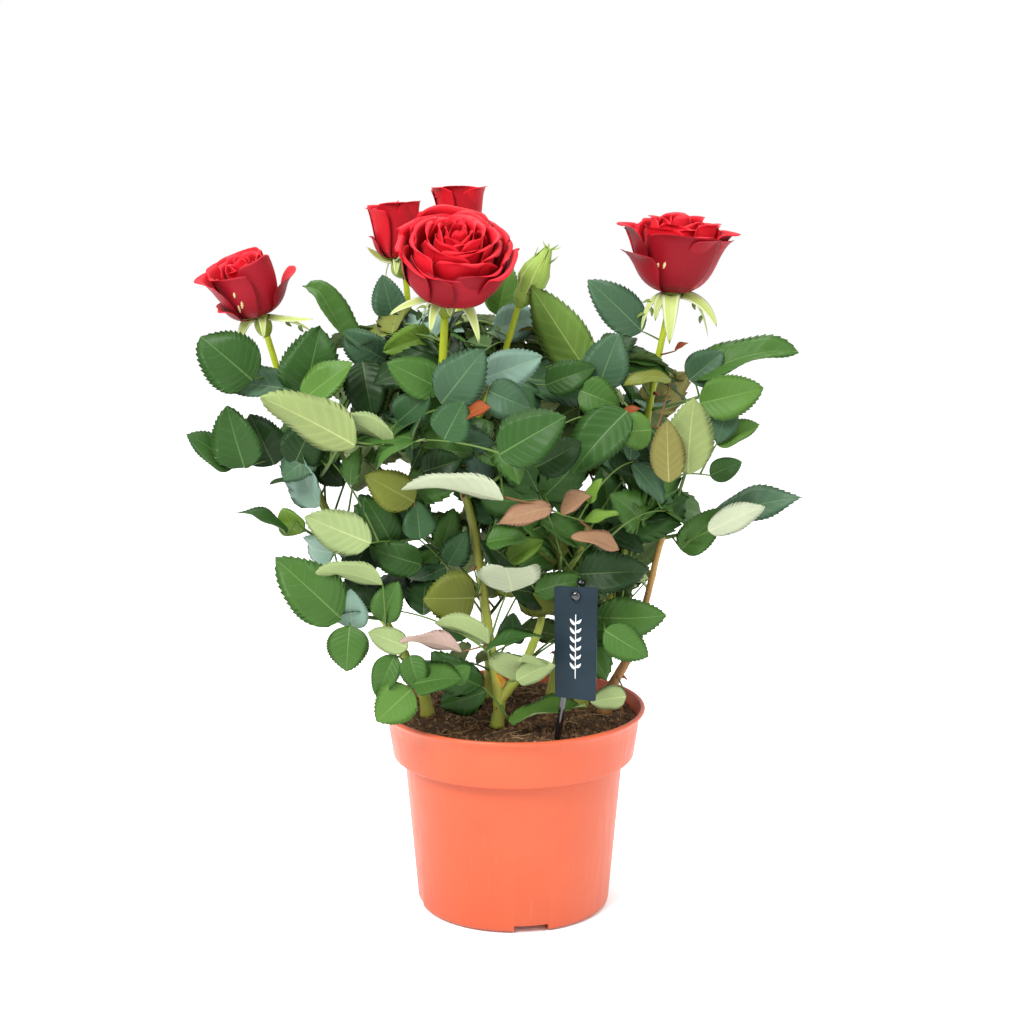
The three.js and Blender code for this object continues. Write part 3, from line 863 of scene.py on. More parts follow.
def add_stalk(sheaf, network, base, face, thick=0.55, red=False):
    """A thin arched stalk from the network to a leaf's foot, behind the blade."""
    start = network.nearest(base)
    gap = np.linalg.norm(base - start)
    if gap < 1.0:
        return
    knee = (start + base) / 2 + (UP * 0.06 - unit(face) * 0.12) * gap
    path = bezier(start, knee, base, max(4, int(gap / 5) + 3))
    slot = LEAF_SLOTS.index("red_stalk" if red else "stalk")
    add_tube(sheaf, path, np.linspace(thick * 1.3, thick * 0.8, len(path)), 6, slot)
    for point in path[1:-1:2]:
        network.grow(point)


# How a leaf is held: the way that its upper side looks.
FACES = {
    "front": (0, -1, 0.3),
    "tilted": (0, -0.62, 0.85),
    "level": (0, -0.2, 1),
    "back": (0, 0.9, -0.1),
    "over": (0, 0.7, 0.7),
}

# Leaves that show, listed one by one: how each is held, its tint, its width for its length, its foot and tip.
SHOWN_LEAVES = [
    ("front", "dark", 0.86, (-159, -38, 347), (-189, -42, 374)),
    ("tilted", "teal", 0.6, (-137, -24, 339), (-181, -30, 341)),
    ("front", "dark", 0.78, (-129, -20, 333), (-118, -24, 378)),
    ("tilted", "green", 0.6, (-129, -34, 334), (-97, -40, 358)),
    ("front", "teal", 0.72, (-80, -5, 356), (-106, -10, 374)),
    ("front", "deep", 0.72, (-93, -20, 356), (-86, -30, 321)),
    ("back", "lime", 0.5, (-93, -84, 314), (-148, -86, 343)),
    ("over", "pale", 0.5, (-72, -75, 312), (-104, -78, 331)),
    ("front", "dark", 0.76, (-166, -30, 292), (-175, -36, 331)),
    ("front", "deep", 0.8, (-149, -20, 292), (-163, -22, 324)),
    ("tilted", "dark", 0.6, (-174, -28, 291), (-201, -32, 313)),
    ("front", "deep", 0.85, (-135, -34, 294), (-122, -30, 322)),
    ("front", "teal", 0.8, (-122, -32, 300), (-142, -34, 285)),
    ("front", "deep", 0.85, (-121, -20, 295), (-106, -22, 279)),
    ("level", "mid", 0.45, (-133, -10, 276), (-153, -12, 278)),
    ("level", "dark", 0.5, (-140, -35, 251), (-171, -38, 265)),
    ("front", "bright", 0.85, (-134, -25, 249), (-143, -27, 266)),
    ("back", "pale", 0.62, (-86, -68, 252), (-125, -70, 269)),
    ("front", "dark", 0.66, (-74, -45, 246), (-91, -50, 277)),
    ("front", "cool", 0.85, (-57, -55, 252), (-59, -58, 276)),
    ("front", "deep", 0.85, (-88, -40, 248), (-103, -44, 225)),
    ("front", "dark", 0.62, (-57, -45, 234), (-89, -50, 246)),
    ("front", "mid", 0.62, (-106, -60, 204), (-144, -66, 242)),
    ("front", "grey", 0.9, (-99, -55, 196), (-99, -60, 222)),
    ("front", "mid", 0.92, (-100, -62, 199), (-102, -68, 172)),
    ("over", "pale", 0.5, (-79, -70, 227), (-119, -74, 235)),
    ("front", "mid", 0.7, (-80, -60, 202), (-70, -62, 227)),
    ("back", "pale", 0.6, (-64, -75, 189), (-88, -76, 199)),
    ("over", "blush", 0.42, (-31, -80, 188), (-68, -82, 194)),
    ("over", "pale", 0.55, (-15, -80, 193), (-48, -82, 206)),
    ("front", "mid", 0.62, (-72, -70, 183), (-83, -73, 158)),
    ("front", "green", 0.9, (-62, -75, 163), (-83, -80, 144)),
    ("front", "mid", 0.8, (-63, -72, 183), (-57, -76, 163)),
    ("front", "mid", 0.85, (-38, -70, 167), (-26, -74, 177)),
    ("front", "dark", 0.8, (-28, -50, 190), (-44, -54, 206)),
    ("tilted", "amber", 0.6, (-6, -72, 164), (-11, -76, 173)),
    ("over", "pale", 1.1, (2, -74, 168), (5, -97, 190)),
    ("tilted", "mid", 0.95, (-60, -78, 167), (-31, -84, 172)),
    ("over", "white", 0.42, (-6, -88, 282), (-66, -90, 289)),
    ("tilted", "bronze", 0.5, (22, -85, 277), (-10, -90, 268)),
    ("tilted", "bronze", 0.7, (28, -82, 273), (47, -86, 285)),
    ("tilted", "bronze", 0.42, (62, -85, 252), (34, -90, 260)),
    ("over", "white", 1.0, (-1, -70, 223), (-6, -100, 244)),
    ("tilted", "bright", 0.5, (42, -85, 269), (62, -88, 274)),
    ("tilted", "bright", 0.5, (44, -85, 280), (52, -88, 295)),
    ("front", "deep", 0.6, (40, -60, 231), (81, -66, 234)),
    ("over", "pale", 0.5, (82, -55, 227), (56, -58, 217)),
    ("front", "mid", 0.62, (51, -55, 203), (93, -62, 206)),
    ("front", "mid", 0.72, (55, -76, 200), (81, -82, 185)),
    ("back", "pale", 0.75, (69, -60, 154), (47, -62, 151)),
    ("level", "green", 0.5, (-2, -50, 134), (45, -54, 146)),
    ("back", "pale", 0.6, (2, -88, 172), (25, -85, 181)),
    ("level", "pale", 0.4, (-17, -88, 190), (17, -90, 199)),
    ("front", "deep", 0.8, (0, -60, 188), (0, -64, 208)),
    ("front", "olive", 1.0, (-24, -50, 214), (-55, -60, 216)),
    ("tilted", "mid", 0.8, (-16, -75, 254), (8, -80, 257)),
    ("front", "bright", 0.6, (-3, -70, 242), (18, -74, 255)),
    ("front", "mid", 0.55, (13, -60, 220), (43, -62, 228)),
    ("front", "teal", 0.55, (80, 0, 373), (46, -2, 405)),
    ("front", "teal", 0.82, (52, -30, 342), (64, -34, 375)),
    ("front", "mid", 0.9, (40, -40, 341), (64, -44, 332)),
    ("tilted", "olive", 0.62, (95, -45, 348), (66, -50, 345)),
    ("front", "teal", 0.85, (110, -5, 343), (130, -8, 361)),
    ("tilted", "mid", 0.36, (113, -5, 343), (177, -10, 361)),
    ("front", "green", 0.68, (115, -25, 331), (153, -30, 341)),
    ("front", "teal", 0.8, (133, -20, 327), (126, -24, 306)),
    ("tilted", "green", 0.55, (126, -20, 305), (152, -24, 318)),
    ("back", "lime", 0.66, (105, -60, 293), (108, -64, 339)),
    ("back", "tan", 0.56, (93, -66, 289), (91, -70, 327)),
    ("front", "dark", 0.7, (122, -25, 286), (141, -28, 295)),
    ("front", "green", 0.95, (83, -55, 319), (60, -60, 318)),
    ("front", "dark", 0.62, (68, -60, 331), (35, -68, 294)),
    ("front", "deep", 0.75, (60, -45, 309), (84, -48, 289)),
    ("tilted", "teal", 0.46, (126, -8, 254), (181, -14, 270)),
    ("back", "white", 0.45, (120, -42, 254), (154, -44, 270)),
    ("front", "mid", 0.55, (105, -20, 238), (130, -24, 265)),
    ("front", "teal", 0.72, (-77, 45, 376), (-84, 42, 405)),
    ("front", "bright", 0.62, (-50, -20, 373), (-80, -24, 363)),
    ("front", "mid", 0.66, (-43, -60, 344), (-75, -66, 361)),
    ("front", "teal", 0.72, (-43, -70, 337), (-17, -76, 370)),
    ("front", "grey", 0.62, (-18, -55, 350), (17, -60, 364)),
    ("front", "teal", 0.85, (-15, -72, 345), (10, -76, 335)),
    ("back", "moss", 0.46, (48, -16, 346), (11, -14, 402)),
    ("front", "grey", 0.75, (-12, 20, 372), (18, 18, 381)),
    ("front", "green", 0.66, (-10, 35, 380), (-2, 32, 412)),
    ("front", "dark", 0.74, (-8, -98, 311), (30, -104, 334)),
    ("front", "deep", 0.7, (14, -75, 300), (40, -78, 315)),
    ("front", "dark", 0.62, (20, -30, 343), (50, -34, 354)),
    ("front", "cool", 0.95, (-41, -80, 317), (-29, -84, 340)),
    ("front", "cool", 0.85, (-69, -60, 325), (-50, -64, 342)),
    ("front", "deep", 0.9, (-54, -70, 296), (-31, -74, 304)),
    ("front", "olive", 0.7, (-60, -60, 276), (-89, -64, 293)),
    ("tilted", "rust", 0.7, (-29, -82, 331), (-13, -86, 337)),
    ("tilted", "rust", 0.6, (100, -12, 362), (108, -14, 367)),
    ("tilted", "rust", 0.7, (66, -50, 326), (76, -54, 332)),
]


CURLED_LEAF = [
    (-78, -6, 350), (-91, -6, 358), (-106, -8, 374), (-114, -9, 388), (-121, -10, 399), (-130, -12, 402),
]


def add_curled_leaf(sheaf, network):
    """The tall leaf at the upper left, which rises folded along its rib and opens where it rolls over."""
    path = smooth_path(CURLED_LEAF, 2.0)
    rows = len(FINE_BLADE["half"])
    spine = points_at(np.linspace(0, len(path) - 1, rows), np.arange(len(path)), path)
    heading = headings(spine)
    face = np.array([square_to(vec(0.55, -0.65, 0.5), h) for h in heading])
    side = np.cross(heading, face)
    reach = FINE_BLADE["width"] * np.linspace(5, 32, rows)[:, None]
    shut = np.linspace(0.9, 0.3, rows)[:, None]
    flat = np.linspace(0.2, 0.75, rows)[:, None]
    points = spine[:, None] + side[:, None] * (reach * flat)[..., None]
    points = points + face[:, None] * (np.abs(reach) * shut * 0.6)[..., None]
    add_blade(sheaf, points, "moss")
    add_stalk(sheaf, network, spine[0], face[0], 0.8)


def build_shown_leaves(sheaf, network):
    """The listed leaves, from the canes outwards, so that a stalk can grow from an earlier one."""
    rng = np.random.default_rng(7)
    add_curled_leaf(sheaf, network)
    rows = []
    for held, tint, ratio, foot, tip in SHOWN_LEAVES:
        foot, tip = np.array(foot, float), np.array(tip, float)
        reach = min(np.linalg.norm(foot - point) for point in network.points)
        rows.append((reach, len(rows), held, tint, ratio, foot, tip))
    for _, _, held, tint, ratio, foot, tip in sorted(rows, key=lambda row: row[:2]):
        face = vec(*FACES[held]) + rng.normal(0, 0.16, 3)
        add_blade(sheaf, blade_points(FINE_BLADE, foot, tip, face, ratio, rng), tint)
        network.kept.append(((foot + tip) / 2, 0.5 * np.linalg.norm(tip - foot)))
        add_stalk(sheaf, network, foot, face, red=tint in RED_STALKED)


RED_STALKED = ("bronze", "rust", "blush", "olive")
# The tints of the grown leaves, the commoner ones more than once.
FILL_TINTS = (
    "deep", "dark", "dark", "mid", "mid", "cool", "teal", "deep", "olive", "cool", "dark", "grey", "moss",
)

# How much the view drops for each step away from the camera.
VIEW_SLOPE = 0.19
# Where no leaf grows, to keep the label, the front bloom's stem, the bud's stalk and gaps low down in view:
# x from and to, y less than, z from and to.
CLEARINGS = [
    (16, 60, -45, 150, 246), (-54, -32, -36, 338, 396), (-32, 14, -26, 125, 200), (82, 104, 5, 205, 260),
    (-20, 22, 12, 338, 400),
]
# Where the sky shows through the crown: x from and to, and the height from and to at the plant's middle.
SKY = [
    (-140, -124, 256, 284), (-118, -100, 256, 292), (-75, -58, 230, 247), (-60, -40, 252, 268),
    (-124, -102, 320, 332), (-70, -48, 176, 198), (-8, 14, 190, 204), (-78, -64, 154, 170),
    (16, 33, 248, 261), (72, 84, 255, 268), (112, 126, 304, 332), (102, 190, 196, 246), (92, 116, 268, 288),
    (38, 47, 255, 265), (24, 56, 360, 398), (100, 142, 364, 392),
]


def seen_height(point):
    """The height at which the line of sight through a point crosses the plant's middle."""
    return point[2] + VIEW_SLOPE * point[1]


def in_clearing(point):
    """Whether a point is where the view stays free or where the sky shows."""
    x, y, z = point
    seen = seen_height(point)
    near = any(x0 < x < x1 and y < y1 and z0 < z < z1 for x0, x1, y1, z0, z1 in CLEARINGS)
    return near or any(x0 < x < x1 and z0 < seen < z1 for x0, x1, z0, z1 in SKY)


IN_FRONT = 9  # a point this far behind a leaf's middle still counts as in front of it


def hides_shown(point, kept):
    """Whether a point stands in front of one of the listed leaves."""
    x, y, _ = point
    seen = seen_height(point)
    return any(y < at[1] + IN_FRONT and math.hypot(x - at[0], seen - seen_height(at)) < reach
               for at, reach in kept)


def leaflet_pairs(stalk, forward, face, size, pairs, rng):
    """The foot, the tip and the upper side of each leaflet beside a stalk, from its end back."""
    lengths = run_lengths(stalk)
    found = []
    for pair in range(pairs):
        place = lengths[-1] - size * (0.12 + 0.5 * pair)
        if place < 6:
            break
        joint = points_at(place, lengths, stalk)
        here = unit(points_at(place + 2, lengths, stalk) - joint + forward * 0.01)
        level = square_to(face, here)
        side = np.cross(here, level)
        for hand in (-1, 1):
            if rng.uniform() < 0.08:
                continue
            heading = unit(side * hand + here * rng.uniform(0.25, 0.55) - level * rng.uniform(0.0, 0.2))
            start = joint + heading * 1.4
            end = start + heading * size * (0.86 - 0.14 * pair) * rng.uniform(0.85, 1.05)
            upper = level + side * hand * rng.normal(0.1, 0.2) + here * rng.normal(0, 0.15)
            found.append((start, end, upper))
    return found


def add_compound_leaf(sheaf, network, tip, out, outward, size, pairs, rng, shape, tint):
    """A rose leaf: a leaflet at the stalk's end and smaller pairs along it, if most of them are in free space."""
    root = network.anchor(tip, out, size * (1.25 + 0.5 * pairs) + 12)
    anchor = network.points[root]
    gap = np.linalg.norm(tip - anchor)
    size = min(size, gap * 0.62)
    middle = (anchor + tip) / 2 + UP * gap * rng.uniform(0.04, 0.16)
    forward = unit(tip - middle)
    foot = tip - forward * size
    upper = outward * rng.uniform(0.5, 1.2) + UP * rng.uniform(0.35, 0.95) + rng.normal(0, 0.28, 3)
    face = square_to(upper, forward)
    stalk = bezier(anchor, middle - forward * size * 0.5, foot, max(6, int(gap / 5)))
    blades = [(foot, tip, face), *leaflet_pairs(stalk, forward, face, size, pairs, rng)]
    free = []
    for number, (start, end, upper) in enumerate(blades):
        inside = start + (end - start) * 0.6
        if not (in_clearing(inside) or in_clearing(end) or hides_shown(inside, network.kept)):
            free.append((start, end, upper))
        elif number == 0:
            return
    if len(free) * 2 < len(blades):
        return
    network.used.add(root)
    for start, end, upper in free:
        ratio = rng.uniform(0.58, 0.72)
        add_blade(sheaf, blade_points(shape, start, end, upper, ratio, rng), tint)
    add_tube(sheaf, stalk, np.linspace(0.8, 0.45, len(stalk)), 6, LEAF_SLOTS.index("stalk"))


FAR_SIDE = 40  # masses whose middle is behind this y have their leaves in the back piece
# Fill for each mass: how many compound leaves, and how far back from the front they keep (-1 is no limit).
FILL = {
    "front_centre_mass": (5, 0.1), "front_left_mass": (4, 0.2), "top_front_mass": (6, 0.1),
    "heart_mass": (16, -1), "left_heart_mass": (10, -0.2), "right_heart_mass": (12, -0.2),
    "low_heart_mass": (8, -0.2), "low_centre_mass": (4, 0.1), "upper_left_mass": (4, 0.1),
    "mid_left_mass": (6, 0.1), "low_left_mass": (2, 0.2), "bottom_left_mass": (3, 0.2),
    "left_skirt_mass": (4, 0.2), "top_left_mass": (9, -0.2), "crown_mass": (13, -0.3),
    "upper_right_mass": (9, -0.2), "far_upper_right_mass": (4, 0.1), "mid_right_mass": (6, 0.1),
    "far_right_mass": (3, 0.1), "bottom_right_mass": (3, 0.1), "back_mass": (16, -1),
    "back_top_mass": (10, -1), "back_left_mass": (15, -1), "back_right_mass": (15, -1),
    "low_back_left_mass": (10, -1), "low_back_right_mass": (10, -1), "low_back_mass": (3, -1),
}


def mass_middle(name):
    low, high = (np.array(corner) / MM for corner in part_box(name))
    return (low + high) / 2


def grow_twigs(network):
    """Side shoots from the canes into the masses, each with the number of its first point in the network."""
    twigs = []
    for name in FILL:
        centre = mass_middle(name)
        root = network.nearest(centre - vec(0, 0, 20))
        if np.linalg.norm(centre - root) < 14:
            continue
        twig = bezier(root, (root + centre) / 2 + vec(0, 0, -5), centre, 10)
        twigs.append((twig, len(network.points)))
        for point in twig[1:]:
            network.grow(point)
    return twigs


def build_twigs(sheaf, network, twigs):
    """Each side shoot, as far as the last leaf on it."""
    for twig, first in twigs:
        leafy = [place - first + 2 for place in network.used if first <= place < first + len(twig) - 1]
        if leafy:
            reach = max(3, *leafy)
            add_tube(sheaf, twig[:reach], np.linspace(1.4, 0.8, 10)[:reach], 8, LEAF_SLOTS.index("stalk"))


def build_fill(front, back, network):
    """Compound leaves that reach out from each mass's middle to the outline of its CAD solid."""
    graph = bpy.context.evaluated_depsgraph_get()
    for number, (name, (leaves, behind)) in enumerate(FILL.items()):
        rng = np.random.default_rng(500 + number)
        centre = mass_middle(name)
        solid = BVHTree.FromObject(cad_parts[name], graph)
        start = rng.uniform(0, 2 * math.pi)
        far = centre[1] > FAR_SIDE
        for leaf in range(leaves):
            turn = start + leaf * GOLDEN_ANGLE
            out = unit(vec(math.cos(turn), math.sin(turn), rng.uniform(-0.5, 0.9)))
            if behind > -1 and out[1] < behind:
                out = unit(vec(out[0], behind + abs(out[1] - behind) * 0.5, out[2]))
            hit = solid.ray_cast(Vector(centre * MM), Vector(out))
            inner = leaf % 3 == 2
            share = rng.uniform(0.35, 0.7) if inner else rng.uniform(0.84, 1.0)
            tip = centre + out * (hit[3] / MM if hit[0] else 30) * share
            outward = unit(vec(tip[0], tip[1] + 1e-3, 0))
            size = rng.uniform(34, 50)
            pairs = int(rng.choice([1, 2, 2]))
            tint = FILL_TINTS[int(rng.integers(len(FILL_TINTS)))]
            shape = INNER_BLADE if inner or far else PLAIN_BLADE
            way = unit(out + outward * 0.7)
            sheaf = back if far else front
            add_compound_leaf(sheaf, network, tip, way, outward, size, pairs, rng, shape, tint)


def build_foliage(network):
    materials = leaf_materials()
    shown, front, back = Sheaf(), Sheaf(), Sheaf()
    twigs = grow_twigs(network)
    build_shown_leaves(shown, network)
    build_fill(front, back, network)
    build_twigs(shown, network, twigs)
    at_back = [name for name in FILL if "back" in name]
    at_front = [name for name in FILL if name not in at_back]
    shown.make("leaves_shown", materials, "leaf")
    front.make("leaves_front", materials, "leaf", at_front)
    back.make("leaves_back", materials, "leaf", at_back)


# ---- Blooms ----

# Foot of the hip, foot and top of the petals, radius at the rim, and the belly's radius for the rim's.
BLOOMS = {
    "left": {
        "hip": (-153, -10, 371), "foot": (-156.6, -10, 384), "top": (-169, -19, 422),
        "rim": 24, "belly": 0.64,
    },
    "back_left": {
        "hip": (-70.2, 55, 402.5), "foot": (-75.4, 55, 415), "top": (-77, 54, 453),
        "rim": 17.5, "belly": 0.68,
    },
    "front": {
        "hip": (-41.5, -42, 385), "foot": (-39, -43, 399), "top": (-32, -66, 443),
        "rim": 31.5, "belly": 0.8,
    },
    "back": {
        "hip": (-34, 75, 410), "foot": (-34.5, 75, 422), "top": (-36, 74, 462),
        "rim": 18.5, "belly": 0.62,
    },
    "right": {
        "hip": (96.1, 0, 384), "foot": (98.6, 0, 397), "top": (102.5, -2, 447),
        "rim": 33, "belly": 0.62,
    },
}
# How late each bloom's petals flare out, and the spiral of inner petals: how many, and its reach for the rim.
FLARE = {"left": 0.78, "back_left": 0.86, "front": 0.66, "back": 0.86, "right": 0.88}
SPIRAL = {
    "left": (13, 0.72), "back_left": (5, 0.85), "front": (28, 0.88), "back": (5, 0.85), "right": (17, 0.88),
}

# The outer petals of each bloom, listed one by one: the way each looks in degrees (0 right, -90 front), half its
# spread in degrees, its reach for the rim, its height for the bloom, and how much of its top and sides roll back.
GUARDS = {
    "left": [
        (150, 55, 0.9, 0.9, 0.1, 0.1), (95, 55, 0.8, 0.94, 0.1, 0.1), (2, 44, 1.3, 0.5, 0.0, 0.1),
        (186, 55, 1.2, 0.84, 0.1, 0.1), (-128, 60, 0.88, 0.82, 0.06, 0.1), (-48, 46, 0.76, 0.92, 0.0, 0.1),
        (-160, 44, 1.0, 0.36, 0.2, 0.2),
    ],
    "back_left": [
        (90, 62, 0.85, 0.92, 0.06, 0.05), (30, 52, 0.9, 0.92, 0.06, 0.1), (150, 52, 0.95, 0.9, 0.06, 0.1),
        (-30, 52, 0.96, 0.97, 0.08, 0.1), (-150, 52, 1.02, 0.88, 0.08, 0.1),
        (-88, 60, 0.86, 0.98, 0.1, 0.05), (-168, 34, 1.0, 0.4, 0.1, 0.1),
    ],
    "front": [
        (90, 55, 0.92, 0.92, 0.12, 0.15), (128, 46, 0.98, 0.84, 0.18, 0.15),
        (48, 46, 0.98, 0.88, 0.16, 0.15), (165, 42, 1.02, 0.78, 0.18, 0.1), (14, 40, 1.02, 0.8, 0.2, 0.15),
        (205, 42, 0.96, 0.66, 0.18, 0.1), (-16, 42, 1.14, 0.7, 0.18, 0.15),
        (-46, 46, 0.94, 0.66, 0.1, 0.05), (-132, 48, 0.9, 0.6, 0.1, 0.05), (-92, 52, 0.86, 0.56, 0.04, 0.0),
    ],
    "back": [
        (90, 62, 0.85, 0.94, 0.06, 0.05), (30, 52, 0.92, 0.93, 0.08, 0.1), (150, 52, 0.95, 0.95, 0.08, 0.1),
        (-30, 52, 0.96, 0.96, 0.08, 0.1), (-150, 52, 0.98, 0.98, 0.08, 0.1),
        (-90, 60, 0.86, 1.0, 0.08, 0.05),
    ],
    "right": [
        (90, 60, 0.85, 0.82, 0.12, 0.15), (135, 50, 0.98, 0.8, 0.16, 0.15), (45, 50, 0.98, 0.8, 0.16, 0.15),
        (182, 46, 1.12, 0.84, 0.14, 0.15), (0, 46, 1.12, 0.82, 0.14, 0.15), (-35, 46, 1.0, 0.72, 0.04, 0.1),
        (-150, 36, 1.12, 0.5, 0.0, 0.05), (-88, 58, 0.94, 0.76, 0.0, 0.05),
    ],
}
# Blooms whose outer petals are as red outside as inside.
BRIGHT_BLOOMS = ("back_left", "back")
# Small pale scars on a bloom's outer petals: the petal's place in its list, the row from the foot, the
# column, and how long.
SCARS = {
    "left": [(4, 6, 12, 7), (4, 7, 14, 6), (4, 10, 13, 4), (5, 8, 3, 8), (5, 10, 4, 7)],
    "right": [(7, 7, 4, 4), (7, 7, 6, 5)],
}

PETAL_INNER = ("a80c1a", "c0101f", "d21626", "de2433")
PETAL_OUTER = ("720a16", "840e1b", "941422", "a41e2c")
PETAL_SCAR = len(PETAL_INNER) + len(PETAL_OUTER)  # the scars' slot, after all the reds


def petal_materials():
    """The reds of the petals' two sides, from dark to bright, and the pale scars."""
    soft = {"Specular_IOR_Level": 0.12, "Sheen_Weight": 0.03, "Sheen_Roughness": 0.4}
    made = []
    for side, codes in (("inner", PETAL_INNER), ("outer", PETAL_OUTER)):
        for number, code in enumerate(codes):
            made.append(plain(f"petal_{side}_{number}", code, 0.55, **soft))
    made.append(plain("petal_scar", "d8c08a", 0.7, Specular_IOR_Level=0.2))
    return made


def bloom_axes(bloom):
    """The foot of a bloom's petals, its height, and its own up, right and back."""
    foot, top = vec(*bloom["foot"]), vec(*bloom["top"])
    up = unit(top - foot)
    right = square_to(vec(1, 0, 0), up)
    return foot, np.linalg.norm(top - foot), up, right, np.cross(up, right)


SIDE_COIL = 2.6  # the radius that a petal's side edges roll back round


def cubic(t, a, b, c, d):
    """The curve from a to d that b and c pull towards themselves."""
    return (1 - t) ** 3 * a + 3 * t * (1 - t) ** 2 * b + 3 * t**2 * (1 - t) * c + t**3 * d


def petal_grid(turn, spread, rim, belly, height, flare, corner, top_roll, side_roll, rng, rows, columns):
    """A petal in the bloom's own frame: out from its axis, round it and up, with its edges rolled back."""
    t = np.linspace(0, 1, rows)[:, None]
    t = t * (1.35 - 0.35 * t)
    a = np.linspace(-1, 1, columns)[None]
    u = t * (1 - corner * np.abs(a) ** 2.6 - 0.028 * np.cos(rng.uniform(2.5, 4.5) * a + rng.uniform(0, 6)))
    start = 1 - top_roll
    coil = max(0.055 * height, 1.6)
    past = np.clip((u - start) * height / coil, 0, 2.7)
    v = np.where(u > start, start + coil * np.sin(past) / height, u)
    out = cubic(v, 3, belly * 1.25, belly * 1.02, rim)
    up = height * cubic(v, 0, 0.08, flare, 1)
    shape = np.sin(np.clip(0.14 + 0.6 * u, 0, 1) * math.pi) ** 0.8
    along = np.abs(a) * spread * shape * out
    fold = along.max(axis=1, keepdims=True) * (1 - side_roll * np.clip((u - 0.35) / 0.45, 0, 1))
    bend = np.clip((along - fold) / SIDE_COIL, 0, 2.5)
    along = np.where(along > fold, fold + SIDE_COIL * np.sin(bend), along)
    around = turn + np.sign(a) * along / out
    edge = np.clip((u - 0.6) / 0.4, 0, 1)
    ripple = 0.045 * rim * edge * np.sin(rng.uniform(2.5, 5) * a + rng.uniform(0, 6))
    out = (out + coil * (1 - np.cos(past)) + SIDE_COIL * (1 - np.cos(bend)) + ripple) * (1 + 0.07 * a)
    return np.stack([out * np.cos(around), out * np.sin(around), up], -1)


def petal_slots(rows, columns, first, shade):
    """Deeper towards the foot, and a little brighter along the rim as a painted highlight where the rims catch
    the light.
    """
    level = np.interp(np.linspace(0, 1, rows - 1), (0, 0.14, 0.15, 0.94, 0.95, 1), (0, 0, 1, 1, 2, 2)).round()
    level = np.clip(level + shade, 0, 3).astype(int)
    return np.repeat(level[:, None], columns - 1, axis=1) + first


def add_petal(sheaf, bloom, grid, shade, bright=False, scars=()):
    """A petal with its darker back outwards, or with both sides bright, as near the middle of a bloom."""
    foot, _, up, right, back = bloom_axes(bloom)
    points = foot + grid[..., :1] * right + grid[..., 1:2] * back + grid[..., 2:] * up
    rows, columns = grid.shape[:2]
    outer = petal_slots(rows, columns, 0 if bright else len(PETAL_INNER), shade)
    inner = petal_slots(rows, columns, 0, shade)
    sheaf.add(*lens(points, 0.5, outer, inner))
    for row, column, long in scars:
        here, above, beside = points[row, column], points[row + 1, column], points[row, column + 1]
        lift = unit(np.cross(beside - here, above - here))
        slant = unit(unit(above - here) + unit(beside - here) * 0.35)
        path = here + lift * 0.45 + slant * np.linspace(-long / 2, long / 2, 8)[:, None]
        widths = vec(0.3, 1.5, 0.9, 2.2, 1.4, 1.9, 0.8, 0.3)
        add_ribbon(sheaf, path, widths, lift, 0.0, PETAL_SCAR, PETAL_SCAR, columns=5)


def add_inner_petals(sheaf, name, bloom, rng):
    """A spiral of upright petals, shorter and tighter towards the middle."""
    count, last = SPIRAL[name]
    rim, belly, height = bloom["rim"], bloom["rim"] * bloom["belly"], bloom_axes(bloom)[1]
    for k in range(count):
        u = (k + 0.5) / count
        reach = rim * last * (0.1 + 0.9 * u**1.1) * rng.uniform(0.94, 1.04)
        bulge = max(belly * last * (0.16 + 0.84 * u**0.7), reach * (1.15 - 0.3 * u))
        tall = height * (0.98 - 0.08 * u) * rng.uniform(0.94, 1.03)
        tall *= 1 - 0.13 * u * max(0, -math.sin(k * GOLDEN_ANGLE))
        turn, spread = k * GOLDEN_ANGLE + rng.normal(0, 0.15), 1.55 - 0.7 * u
        rolls = (0.02 + 0.12 * u, 0.04 + 0.2 * u)
        grid = petal_grid(turn, spread, reach, bulge, tall, FLARE[name], 0.17, *rolls, rng, 12, 15)
        add_petal(sheaf, bloom, grid, int(rng.integers(2)), bright=True)


def add_guards(sheaf, name, bloom, rng):
    """The outer petals, which make the bloom's outline."""
    rim, belly, height = bloom["rim"], bloom["rim"] * bloom["belly"], bloom_axes(bloom)[1]
    bright = name in BRIGHT_BLOOMS
    for place, (turn, spread, reach, tall, *rolls) in enumerate(GUARDS[name]):
        turn, spread, tall = math.radians(turn), math.radians(spread), height * tall
        bulge = belly * (0.85 + 0.25 * reach)
        grid = petal_grid(turn, spread, rim * reach, bulge, tall, FLARE[name], 0.1, *rolls, rng, 18, 21)
        scars = [spot[1:] for spot in SCARS.get(name, ()) if spot[0] == place]
        add_petal(sheaf, bloom, grid, int(rng.integers(2)) - bright, bright, scars)


def build_bloom(name, bloom, materials):
    rng = np.random.default_rng(40 + len(name))
    sheaf = Sheaf()
    add_inner_petals(sheaf, name, bloom, rng)
    add_guards(sheaf, name, bloom, rng)
    sheaf.make(f"{name}_petals", materials, "petal", [f"{name}_bloom"])


GREENS = {
    "hip_green": "84962e", "sepal_green": "6d8238", "sepal_pale": "a9b768", "sepal_edge": "c3caa0",
    "bud_green": "86a043",
}
# The place of each in the list of materials.
HIP, SEPAL, SEPAL_PALE, SEPAL_EDGE, BUD_GREEN = range(5)


def green_materials():
    return [plain(name, code, 0.5, Specular_IOR_Level=0.25) for name, code in GREENS.items()]


